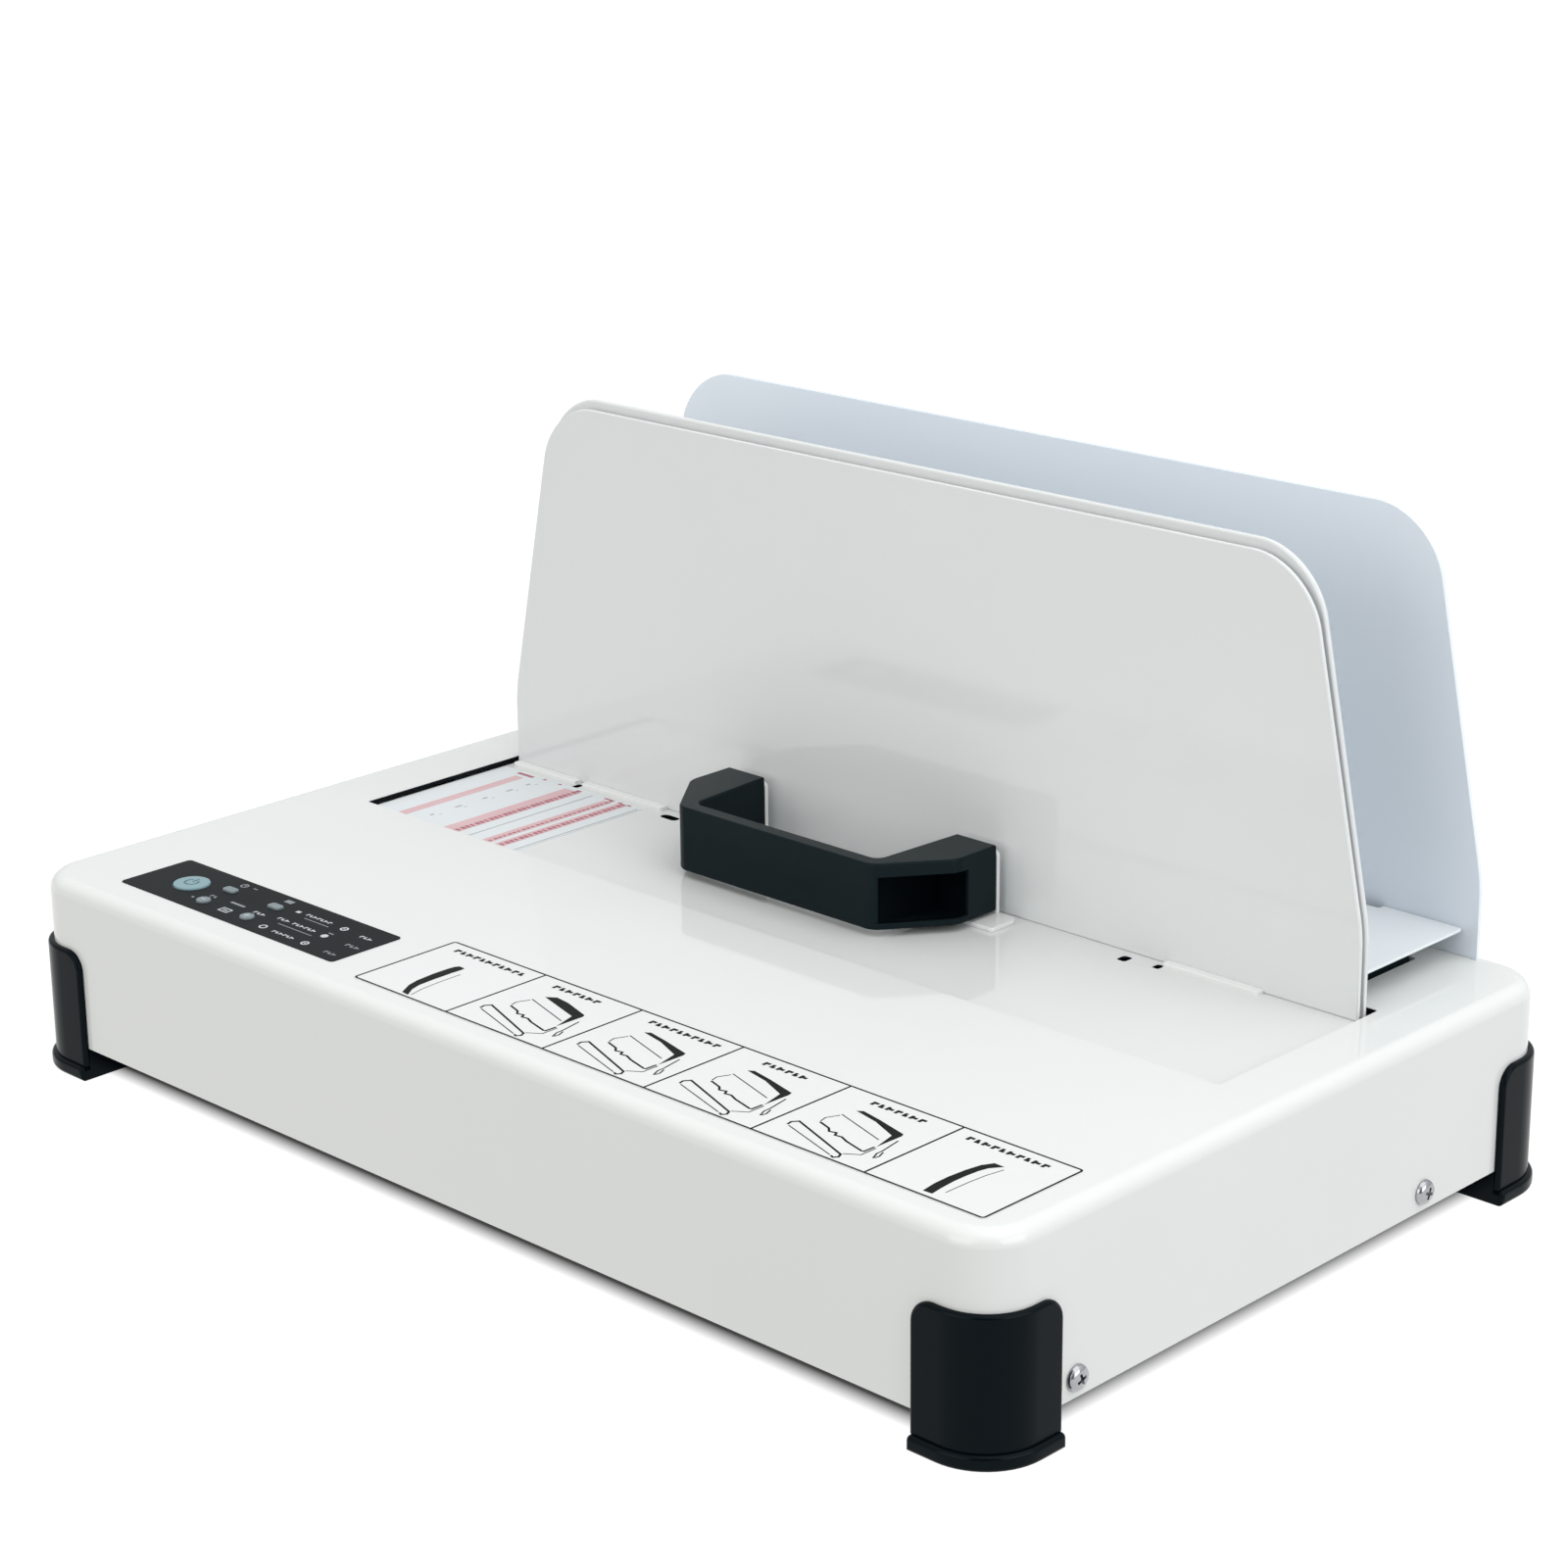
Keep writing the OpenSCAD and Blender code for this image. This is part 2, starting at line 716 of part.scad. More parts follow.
module rod_holders() {
  holder_h = rod_z - pan_top_z + rod_d / 2 + 3;
  color("dimgray") difference() {
    for (y = [front_holder_y, rear_holder_y])
      at_rods() translate([-block_w / 2, y, pan_top_z - rod_z]) cube([block_w, holder_l, holder_h]);
    at_rods() along_y(rod_d + 2 * run_fit, 2 * housing_d);
  }
}

module slide_blocks() {
  block_h = rod_drop + rod_d / 2 + 4;
  color("ivory") difference() {
    at_rods() translate([-block_w / 2, block_y, rod_drop - block_h]) cube([block_w, block_l, block_h]);
    at_rods() along_y(rod_d + 2 * run_fit, 2 * housing_d);
  }
}

floor_w = opening_w - 2 * floor_side_gap;
floor_rear_y = press_y + press_t;
floor_front_y = opening_y - floor_tuck;

module jaw_floor() {
  slot_x = opening_shift + mark_slot_at[0];
  slot_y = front_plate_y - mark_slot_at[1];
  slot_run = mark_slot[0] - mark_slot[1];
  color("whitesmoke") difference() {
    translate([opening_shift - floor_w / 2, floor_front_y, floor_z - floor_t])
      cube([floor_w, floor_rear_y - floor_front_y, floor_t]);
    for (m = mark_holes_at)
      translate([opening_shift + m[0], front_plate_y - m[1], floor_z - floor_t - cut])
        cylinder(r = m[2], h = floor_t + 2 * cut);
    for (k = [-1, 1])
      translate([slot_x + k * slot_run / 2, slot_y, floor_z - floor_t - cut])
        cylinder(d = mark_slot[1], h = floor_t + 2 * cut);
    translate([slot_x - slot_run / 2, slot_y - mark_slot[1] / 2, floor_z - floor_t - cut])
      cube([slot_run, mark_slot[1], floor_t + 2 * cut]);
  }
}

module front_plate() {
  color("gainsboro") {
    tall_plate(front_plate_y, plate_t, top_z - floor_z, front_plate_h);
    for (tab = plate_tabs)
      translate([opening_shift + tab[0], front_plate_y - tab_depth, floor_z])
        cube([tab[1], tab_depth + plate_t, plate_t]);
  }
}

module press_plate() {
  color("white") tall_plate(press_y, press_t, top_z - floor_z, press_plate_h);
}

module plate_spacers() {
  color("darkgray")
    for (p = spacer_at)
      translate([opening_shift + p[0], press_y - plate_gap / 2, top_z + p[1]])
        along_y(spacer_d, plate_gap);
}

// Places of the two handle legs along X, as the middle of each leg
handle_leg_xs = [for (s = [-1, 1]) handle_x + s * (handle_w - handle_leg_w) / 2];

module at_handle_screws() {
  for (x = handle_leg_xs)
    translate([x, ear_y + bracket_t, handle_z + handle_h / 2])
      children();
}

module handle_bracket() {
  foot_w = handle_w + 2 * bracket_foot;
  color("white") difference() {
    union() {
      translate([handle_x - foot_w / 2, ear_y - bracket_depth + bracket_t, floor_z])
        cube([foot_w, bracket_depth, bracket_t]);
      for (x = handle_leg_xs)
        translate([x - handle_leg_w / 2, ear_y, floor_z])
          cube([handle_leg_w, bracket_t, ear_h + handle_z - floor_z]);
    }
    at_handle_screws() along_y(screw_hole, 4 * bracket_t);
  }
}

// Plan of the handle with the ends of its legs on the X axis
module handle_plan() {
  side = handle_w / 2;
  bar = handle_bar_w / 2;
  leg = side - handle_leg_w;
  bend = bar - handle_bar_t / 2 + 0.5;
  polygon([
    [-side, 0], [-side, -handle_side], [-bar, -handle_reach],
    [bar, -handle_reach], [side, -handle_side], [side, 0],
    [leg, 0], [bend, -handle_reach + handle_bar_t],
    [-bend, -handle_reach + handle_bar_t], [-leg, 0]
  ]);
}

// Plan of the pocket in the outer side of the right leg
module pocket_plan() {
  side = handle_w / 2;
  inner = side - handle_leg_w + 3;
  polygon([
    [inner, -handle_post], [side + 10, -handle_post], [side + 10, -handle_side - 10],
    [inner + 3.2, -handle_reach - 2], [inner - 2, -handle_reach + 1.3]
  ]);
}

module handle() {
  color([0.13, 0.14, 0.15]) translate([handle_x, ear_y, handle_z]) difference() {
    linear_extrude(handle_h) handle_plan();
    for (s = [0, 1])
      mirror([s, 0, 0]) translate([0, 0, handle_wall_low])
        linear_extrude(handle_h - handle_wall_low - handle_wall_top) pocket_plan();
    for (x = handle_leg_xs)
      translate([x - handle_x, 0, handle_h / 2]) along_y(thread_hole, 2 * screw_l);
  }
}

module handle_screws() {
  color("silver") at_handle_screws() rotate([0, 0, 90]) screw_x(screw_l);
}

module floor_label() {
  color("mistyrose")
    translate([opening_shift - floor_w / 2 + label_left, floor_front_y + label_front, floor_z])
      cube([label_w, front_plate_y - label_back_gap - floor_front_y - label_front, film_t / 2]);
}

module at_standoffs() {
  for (x = [board_hole_in, power_board[0] - board_hole_in],
       y = [board_hole_in, power_board[1] - board_hole_in])
    translate([power_board_at[0] + x, power_board_at[1] + y, pan_top_z])
      children();
}

module power_board() {
  color("darkgreen")
    translate([power_board_at[0], power_board_at[1], pan_top_z + standoff_h])
      cube([power_board[0], power_board[1], board_t]);
}

module board_standoffs() {
  color("goldenrod") at_standoffs() cylinder(d = standoff_d, h = standoff_h);
}

module relay() {
  color("royalblue")
    translate([power_board_at[0] + relay_at[0], power_board_at[1] + relay_at[1],
               pan_top_z + standoff_h + board_t])
      cube(relay);
}

module choke() {
  color([0.35, 0.25, 0.15])
    translate([power_board_at[0] + choke_at[0], power_board_at[1] + choke_at[1],
               pan_top_z + standoff_h + board_t])
      difference() {
        cylinder(d = choke_d, h = choke_h);
        translate([0, 0, -cut]) cylinder(d = choke_d / 2, h = choke_h + 2 * cut);
      }
}

// Cavity of the inlet with two sloping corners, seen from behind
module inlet_shape() {
  w = inlet_cavity[0] / 2;
  h = inlet_cavity[1] / 2;
  polygon([[-w, -h], [w, -h], [w, h - inlet_chamfer], [w - inlet_chamfer, h],
           [-w + inlet_chamfer, h], [-w, h - inlet_chamfer]]);
}

module mains_inlet() {
  color([0.1, 0.1, 0.1]) translate([inlet_x, rear_face_y, inlet_z]) difference() {
    union() {
      translate([-inlet_face[0] / 2, 0, -inlet_face[1] / 2])
        cube([inlet_face[0], inlet_face[2], inlet_face[1]]);
      translate([-inlet_body[0] / 2, -inlet_body[2], -inlet_body[1] / 2])
        cube([inlet_body[0], inlet_body[2] + cut, inlet_body[1]]);
    }
    translate([0, inlet_face[2] + cut, 0])
      rotate([90, 0, 0]) linear_extrude(inlet_cavity[2] + cut) inlet_shape();
  }
}

module inlet_pins() {
  base_y = rear_face_y + inlet_face[2] - inlet_cavity[2];
  color("silver")
    for (k = [-1, 0, 1])
      translate([inlet_x + k * pin_row - pin_size[0] / 2, base_y,
                 inlet_z + (k == 0 ? pin_offset : -pin_offset) - pin_size[2] / 2])
        cube(pin_size);
}

module switch_frame() {
  window = [rocker[0] + 2 * rocker_gap, rocker[1] + 2 * rocker_end_gap];
  depth = switch_body[2] - 2;
  color([0.1, 0.1, 0.1]) difference() {
    translate([switch_x, rear_face_y, inlet_z]) difference() {
      union() {
        translate([-switch_face[0] / 2, 0, -switch_face[1] / 2])
          cube([switch_face[0], switch_face[2], switch_face[1]]);
        translate([-switch_body[0] / 2, -switch_body[2], -switch_body[1] / 2])
          cube([switch_body[0], switch_body[2] + cut, switch_body[1]]);
      }
      translate([-window[0] / 2, -depth, -window[1] / 2])
        cube([window[0], depth + 2 * switch_face[2], window[1]]);
    }
    translate([switch_x, pivot_y, inlet_z])
      along_x(pivot_d + 2 * run_fit, rocker[0] + 2 * pivot_l + 0.4);
  }
}

module rocker_key() {
  half = rocker[1] / 2;
  middle = pivot_in + rocker_proud;
  tip = middle + half * tan(rocker_tilt);
  back = 4;
  slope = 3;
  color([0.09, 0.09, 0.1]) translate([switch_x, pivot_y, inlet_z]) rotate([rocker_tilt, 0, 0]) {
    rotate([90, 0, 90]) linear_extrude(rocker[0], center = true)
      polygon([[-back, slope - half], [0, -half], [tip, -half], [middle, 0], [tip, half], [0, half],
               [-back, half - slope]]);
    along_x(pivot_d, rocker[0] + 2 * pivot_l);
  }
}

housing_cover();
base_pan();
foot_front_left();
foot_front_right();
foot_rear_left();
foot_rear_right();
foot_screws();
cover_screws();
control_overlay();
control_board();
board_posts();
key_switches();
power_key();
time_key();
heat_key();
less_key();
more_key();
instruction_film();
rear_plate();
rear_supports();
rear_plate_screws();
book_rest();
heater_frame();
heating_element();
heat_shield();
thermostat();
thermal_fuse();
heater_legs();
guide_rods();
rod_holders();
jaw_floor();
front_plate();
press_plate();
plate_spacers();
slide_blocks();
handle_bracket();
handle();
handle_screws();
floor_label();
power_board();
board_standoffs();
relay();
choke();
mains_inlet();
inlet_pins();
switch_frame();
rocker_key();
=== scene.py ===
"""Looks of a thermal binding machine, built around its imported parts.

Pieces are shaped in millimetres and turned into metres when they are finished.
X runs right, Y runs back and Z runs up.
"""
import math

import bmesh
import bpy
from mathutils import Matrix, Vector


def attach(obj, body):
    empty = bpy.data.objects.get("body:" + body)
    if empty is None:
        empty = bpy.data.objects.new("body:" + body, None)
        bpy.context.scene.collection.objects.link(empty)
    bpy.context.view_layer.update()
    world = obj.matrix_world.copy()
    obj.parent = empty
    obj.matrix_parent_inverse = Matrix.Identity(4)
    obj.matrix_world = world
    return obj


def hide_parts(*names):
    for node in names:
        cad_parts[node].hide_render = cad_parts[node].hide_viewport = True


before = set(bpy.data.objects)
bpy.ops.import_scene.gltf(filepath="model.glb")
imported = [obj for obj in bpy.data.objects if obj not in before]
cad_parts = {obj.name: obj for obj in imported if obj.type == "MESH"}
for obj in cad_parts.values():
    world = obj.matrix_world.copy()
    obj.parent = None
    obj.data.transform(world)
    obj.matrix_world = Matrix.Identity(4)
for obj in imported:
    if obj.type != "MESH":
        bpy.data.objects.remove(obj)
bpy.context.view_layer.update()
scene = bpy.context.scene

MM = 0.001
X, Y, Z = range(3)

# Housing
HOUSING_W, HOUSING_D = 430.0, 264.0
UNDER_Z, TOP_Z = 11.0, 68.5
CORNER_R, EDGE_R, SHEET_T = 17.0, 5.0, 1.5
SIDE_SCREW_Y, SIDE_SCREW_Z, SIDE_HOLE_R = (-97.0, 66.0), 17.2, 2.2
SLACK = 0.1
REAR_Y = HOUSING_D / 2
OPENING_L, OPENING_R, OPENING_FRONT, OPENING_REAR = -187.0, 193.0, -7.5, 70.5

# Clamp
MIDDLE_X = 3.0
FLOOR_Z = 66.4
FLOOR_LOW = FLOOR_Z - SHEET_T
JAW_FLOOR = (-186.5, 192.5, -22.5, 67.75)
FRONT_PLATE_Y, PRESS_PLATE_Y, REAR_PLATE_Y = 62.75, 65.75, 125.75
FRONT_PLATE_TOP, PRESS_PLATE_TOP, REAR_PLATE_TOP = 205.5, 208.5, 209.0
PLATE_HALF_LOW, PLATE_HALF_HIGH = 188.0, 164.5
KINK_Z, PLATE_CORNER_R = 94.5, 26.0
REAR_TAILS_X, TAIL_HALF = (-147.0, 153.0), 20.0
REST_Z = 78.0

# Left, right, front and rear of each hole in the floor, and the reach of its round corners
FLOOR_HOLES = ((-103, -95, 55.2, 58.8, 1.75), (-150.4, -147.7, 57.4, 61.2, 0.8),
               (116.7, 119.4, 57, 60.6, 0.8), (104.1, 107.7, 55, 59.4, 1))

# Handle, from the middle of its legs' rear faces
HANDLE_X, HANDLE_Y, HANDLE_Z, HANDLE_H = -8.7, 57.75, 68.9, 22.6

# Panel and film
PANEL = (-182.6, -71.6, -118.0, -89.0)
FILM = (-56.4, 203.0, -121.8, -79.8)
FILM_T = 0.3
FILM_TOP = TOP_Z + FILM_T
KEY_TOP, KEY_LOW = 69.4, 64.0
FLANGE_LOW, FLANGE_TOP, FLANGE_W = 65.65, 66.65, 1.2
SIGN_Z = KEY_TOP + 0.03
POWER_AT, POWER_R = (-162.6, -103.5), 6.25
BAR_KEYS = {"time": (-147.8, -98.7), "heat": (-124.1, -98.7)}
DOT_KEYS = {"less": (-146.7, -110.8), "more": (-123.6, -110.8)}
BAR_HALF = (2.8, 1.7)
DOT_R = 2.5
KEY_GAP = 0.3
INK_T = 0.03

# Rear fittings
INLET_X, SWITCH_X, FITTING_Z = -80.0, -35.0, 38.0
INLET_HALF, SWITCH_HALF = (13.8, 10.3), (7.3, 10.5)
PIVOT_Y = 130.6
ROCKER_TILT = 7


def place(x=0, y=0, z=0, sx=1, sy=1, sz=1):
    """A move to a point, after a stretch along each axis."""
    return Matrix.Translation((x, y, z)) @ Matrix.Diagonal((sx, sy, sz, 1))


def turned(angle, axis, at=(0, 0, 0)):
    """A turn in degrees about an axis, followed by a move to a point."""
    return Matrix.Translation(at) @ Matrix.Rotation(math.radians(angle), 4, axis)


# Shaping


def block(x0, x1, y0, y1, z0, z1):
    """A box between two corners, to be shaped further."""
    bm = bmesh.new()
    middle = place((x0 + x1) / 2, (y0 + y1) / 2, (z0 + z1) / 2, x1 - x0, y1 - y0, z1 - z0)
    bmesh.ops.create_cube(bm, size=1, matrix=middle)
    return bm


def bevel(bm, kind, chosen, width, steps):
    """Rounds edges or corners and returns the new points."""
    made = bmesh.ops.bevel(bm, geom=chosen, offset=width, offset_type="OFFSET", segments=steps,
                           profile=0.5, affect=kind, clamp_overlap=True, material=-1)
    return made["verts"]


def soften(bm, edges, width, steps=3):
    bevel(bm, "EDGES", edges, width, steps)


def round_corners(bm, corners, reach, steps=8):
    """Rounds corners of a flat face and returns the new corner points."""
    return bevel(bm, "VERTICES", corners, reach, steps)


def hard_edges(bm, degrees=50):
    """Edges between faces that meet at a clear angle."""
    limit = math.radians(degrees)
    return [e for e in bm.edges if e.is_manifold and e.calc_face_angle() > limit]


def edges_between(bm, axis, low, high=math.inf):
    """Hard edges that lie between two places along an axis."""
    return [e for e in hard_edges(bm) if all(low < v.co[axis] < high for v in e.verts)]


def level_edges(bm, axis):
    """Hard edges whose ends have the same place along an axis."""
    return [e for e in hard_edges(bm) if abs(e.verts[0].co[axis] - e.verts[1].co[axis]) < 1e-3]


def edges_along(bm, axis):
    return [e for e in bm.edges if abs((e.verts[0].co - e.verts[1].co).normalized()[axis]) > 0.99]


def facing(bm, axis, sign):
    """The largest face that looks along an axis."""
    ahead = [f for f in bm.faces if f.normal[axis] * sign > 0.999]
    return max(ahead, key=lambda f: f.calc_area())


def flat(points, reach=0, steps=8, z=0):
    """A flat face through a few corners, all rounded alike."""
    bm = bmesh.new()
    corners = [bm.verts.new((x, y, z)) for x, y in points]
    bm.faces.new(corners)
    if reach:
        round_corners(bm, corners, reach, steps)
    return bm


def corners_of(x0, x1, y0, y1):
    return [(x0, y0), (x1, y0), (x1, y1), (x0, y1)]


def round_hole(bm, at, radius, steps=32):
    """Edges of a round hole in the plane of a placing matrix."""
    made = bmesh.ops.create_circle(bm, cap_ends=False, segments=steps, radius=radius, matrix=at)
    return list({e for v in made["verts"] for e in v.link_edges})


def cornered_hole(bm, at, points, reach=0, steps=4):
    """Edges of a hole with rounded corners in the plane of a placing matrix."""
    corners = [bm.verts.new(at @ Vector((x, y, 0))) for x, y in points]
    bm.faces.new(corners)
    if reach:
        corners = round_corners(bm, corners, reach, steps)
    face = corners[0].link_faces[0]
    edges = list(face.edges)
    bmesh.ops.delete(bm, geom=[face], context="FACES_ONLY")
    return edges


def open_holes(bm, face, holes):
    """Fills a flat face again with holes left open in it."""
    normal = face.normal.copy()
    rim = list(face.edges) + [e for hole in holes for e in hole]
    bmesh.ops.delete(bm, geom=[face], context="FACES_ONLY")
    bmesh.ops.triangle_fill(bm, use_beauty=True, use_dissolve=False, edges=rim, normal=normal)


def thicken(bm, rise):
    """Raises a flat sheet into a solid of even thickness."""
    made = bmesh.ops.extrude_face_region(bm, geom=bm.faces[:])
    upper = [v for v in made["geom"] if isinstance(v, bmesh.types.BMVert)]
    bmesh.ops.translate(bm, vec=(0, 0, rise), verts=upper)
    bmesh.ops.recalc_face_normals(bm, faces=bm.faces)
    return bm


def move(bm, matrix):
    bmesh.ops.transform(bm, matrix=matrix, verts=bm.verts)
    if matrix.determinant() < 0:
        bmesh.ops.reverse_faces(bm, faces=bm.faces)
    return bm


def stand_up(bm, y):
    """Turns a sheet drawn in X and Z upright, with its front at a depth."""
    return move(bm, turned(90, "X", (0, y, 0)))


def spun(profile, steps=40):
    """A turned solid about Z from a half profile that starts and ends on the axis."""
    bm = bmesh.new()
    points = [bm.verts.new((r, 0, z)) for r, z in profile]
    edges = [bm.edges.new(pair) for pair in zip(points, points[1:])]
    bmesh.ops.spin(bm, geom=points + edges, cent=(0, 0, 0), axis=(0, 0, 1), angle=math.tau,
                   steps=steps, use_merge=True)
    bmesh.ops.remove_doubles(bm, verts=bm.verts, dist=1e-4)
    bmesh.ops.recalc_face_normals(bm, faces=bm.faces)
    return bm


def as_mesh(bm, name="part"):
    mesh = bpy.data.meshes.new(name)
    bm.to_mesh(mesh)
    bm.free()
    return mesh


def gather(*parts):
    """Puts several shapes into one."""
    whole = bmesh.new()
    for part in parts:
        mesh = as_mesh(part)
        whole.from_mesh(mesh)
        bpy.data.meshes.remove(mesh)
    return whole


def copies(bm, places):
    """The same shape at several places."""
    return gather(*[move(bm.copy(), at) for at in places])


def combine(base, tool, how):
    """Cuts one solid out of another, or joins the two."""
    objects = []
    for shape in (base, tool):
        objects.append(bpy.data.objects.new("part", as_mesh(shape)))
        scene.collection.objects.link(objects[-1])
    step = objects[0].modifiers.new("combine", "BOOLEAN")
    step.object = objects[1]
    step.operation = how
    step.solver = "EXACT"
    done = objects[0].evaluated_get(bpy.context.evaluated_depsgraph_get())
    result = bmesh.new()
    result.from_mesh(done.to_mesh())
    for obj in objects:
        mesh = obj.data
        bpy.data.objects.remove(obj)
        bpy.data.meshes.remove(mesh)
    return result


def cut(base, tool):
    return combine(base, tool, "DIFFERENCE")


def join(base, tool):
    return combine(base, tool, "UNION")


def finish(bm, name, material, body, stands_for=(), rounding=0, steps=3, wall=0, smooth=40):
    """Turns a shape into a finished piece that rides on a body."""
    bmesh.ops.scale(bm, vec=(MM, MM, MM), verts=bm.verts)
    mesh = as_mesh(bm, name)
    mesh.materials.append(material)
    mesh.shade_smooth()
    if not rounding:
        mesh.set_sharp_from_angle(angle=math.radians(smooth))
    piece = bpy.data.objects.new(name, mesh)
    scene.collection.objects.link(piece)
    if wall:
        sheet = piece.modifiers.new("wall", "SOLIDIFY")
        sheet.thickness = wall * MM
        sheet.offset = -1
        sheet.use_even_offset = True
    if rounding:
        rim = piece.modifiers.new("rim", "BEVEL")
        rim.width = rounding * MM
        rim.segments = steps
        rim.limit_method = "ANGLE"
        rim.angle_limit = math.radians(55)
        rim.miter_outer = "MITER_SHARP"
    shade = piece.modifiers.new("shade", "WEIGHTED_NORMAL")
    shade.weight = 80
    shade.keep_sharp = True
    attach(piece, body)
    if stands_for:
        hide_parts(*stands_for)


# Shader groups


def rgb(red, green, blue):
    return (red, green, blue, 1.0)


def feed(node, values):
    """Sets a node's inputs to values, or links other sockets to them."""
    for label, value in values.items():
        socket = node.inputs[label]
        if isinstance(value, bpy.types.NodeSocket):
            socket.id_data.links.new(value, socket)
        else:
            socket.default_value = value


def shader_group(name, inputs, outputs=("Color", "Roughness", "Height")):
    """An empty shader group: its tree, its inputs at their usual values, and its output node."""
    tree = bpy.data.node_groups.new(name, "ShaderNodeTree")
    for label, value in inputs.items():
        kind = "NodeSocketColor" if isinstance(value, tuple) else "NodeSocketFloat"
        tree.interface.new_socket(label, in_out="INPUT", socket_type=kind).default_value = value
    for label in outputs:
        kind = "NodeSocketColor" if label == "Color" else "NodeSocketFloat"
        tree.interface.new_socket(label, in_out="OUTPUT", socket_type=kind)
    return tree, tree.nodes.new("NodeGroupInput").outputs, tree.nodes.new("NodeGroupOutput")


def object_place(tree):
    return tree.nodes.new("ShaderNodeTexCoord").outputs["Object"]


def noise(tree, scale, detail=2, roughness=0.5, vector=None):
    node = tree.nodes.new("ShaderNodeTexNoise")
    feed(node, {"Vector": vector or object_place(tree), "Scale": scale, "Detail": detail,
                "Roughness": roughness})
    return node.outputs["Fac"]


def spread(tree, value, low, high, to_low, to_high):
    """Maps a value from one range to another, each end a number or a socket."""
    node = tree.nodes.new("ShaderNodeMapRange")
    feed(node, {"Value": value, "From Min": low, "From Max": high, "To Min": to_low, "To Max": to_high})
    return node.outputs["Result"]


def arithmetic(tree, how, *values):
    """Works out one value from one or two value sockets."""
    node = tree.nodes.new("ShaderNodeMath")
    node.operation = how
    feed(node, dict(enumerate(values)))
    return node.outputs["Value"]


def blend(tree, factor, first, second):
    """Mixes two colours, each a tuple or a socket, by a factor socket."""
    node = tree.nodes.new("ShaderNodeMix")
    node.data_type = "RGBA"
    colours = [i for i, socket in enumerate(node.inputs) if socket.type == "RGBA"]
    feed(node, {"Factor": factor, colours[0]: first, colours[1]: second})
    return next(s for s in node.outputs if s.type == "RGBA")


def make_coat_group():
    """Sprayed and baked coat: soft shade changes, a fine orange peel and faint handling marks."""
    tree, given, made = shader_group("baked_coat", {
        "Tone": rgb(0.8, 0.8, 0.8), "Shade": rgb(0.78, 0.78, 0.78), "Peel Scale": 700.0,
        "Smooth": 0.18, "Rough": 0.26})
    cloud = spread(tree, noise(tree, 9.0, 3, 0.6), 0.35, 0.65, 0.0, 1.0)
    marks = noise(tree, 45.0, 5, 0.65)
    feed(made, {"Color": blend(tree, cloud, given["Tone"], given["Shade"]),
                "Roughness": spread(tree, marks, 0.2, 0.8, given["Smooth"], given["Rough"]),
                "Height": noise(tree, given["Peel Scale"], 1, 0.4)})
    return tree


def make_grain_group():
    """Moulded surface: pebbled grain, cloudy shade and rubbed patches."""
    tree, given, made = shader_group("moulded_grain", {
        "Tone": rgb(0.02, 0.02, 0.02), "Rubbed": rgb(0.04, 0.04, 0.04), "Grain Scale": 1600.0,
        "Smooth": 0.35, "Rough": 0.5})
    pebbles = tree.nodes.new("ShaderNodeTexVoronoi")
    pebbles.feature = "SMOOTH_F1"
    feed(pebbles, {"Vector": object_place(tree), "Scale": given["Grain Scale"]})
    rubs = spread(tree, noise(tree, 35.0), 0.35, 0.8, 0.0, 1.0)
    cloud = noise(tree, 22.0)
    feed(made, {"Color": blend(tree, rubs, given["Tone"], given["Rubbed"]),
                "Roughness": spread(tree, cloud, 0.2, 0.8, given["Smooth"], given["Rough"]),
                "Height": pebbles.outputs["Distance"]})
    return tree


def make_drawn_metal_group():
    """Drawn or rolled metal: fine lines along X and dull patches."""
    tree, given, made = shader_group("drawn_metal", {
        "Tone": rgb(0.6, 0.6, 0.6), "Dull": rgb(0.45, 0.45, 0.45), "Smooth": 0.2, "Rough": 0.4})
    stretch = tree.nodes.new("ShaderNodeMapping")
    feed(stretch, {"Vector": object_place(tree), "Scale": (40, 900, 900)})
    lines = noise(tree, 1.0, 3, 0.6, stretch.outputs["Vector"])
    patches = spread(tree, noise(tree, 55.0, 4, 0.6), 0.4, 0.7, 0.0, 1.0)
    feed(made, {"Color": blend(tree, patches, given["Tone"], given["Dull"]),
                "Roughness": spread(tree, lines, 0.3, 0.7, given["Smooth"], given["Rough"]), "Height": lines})
    return tree


def make_floor_glow_shadow_group():
    """Glow of a lit floor that fades in under the machine: a painted contact shadow."""
    tree, given, made = shader_group("floor_glow_painted_shadow", {"Half Width": 0.2, "Half Depth": 0.1}, ("Color",))
    axes = tree.nodes.new("ShaderNodeSeparateXYZ")
    feed(axes, {"Vector": object_place(tree)})
    beyond = [arithmetic(tree, "SUBTRACT", arithmetic(tree, "ABSOLUTE", axes.outputs[axis]), given[half])
              for axis, half in (("X", "Half Width"), ("Y", "Half Depth"))]
    shadow_deep_at, shadow_end_at = -0.0145, -0.0068
    share = spread(tree, arithmetic(tree, "MAXIMUM", *beyond), shadow_deep_at, shadow_end_at, 0.03, 1.0)
    feed(made, {"Color": blend(tree, share, rgb(0, 0, 0), rgb(1, 1, 1))})
    return tree


COAT = make_coat_group()
GRAIN = make_grain_group()
DRAWN = make_drawn_metal_group()
FLOOR_GLOW_SHADOW = make_floor_glow_shadow_group()


NEUTRAL, COOL = rgb(1.0, 1.0, 1.0), rgb(0.78, 0.94, 1.0)


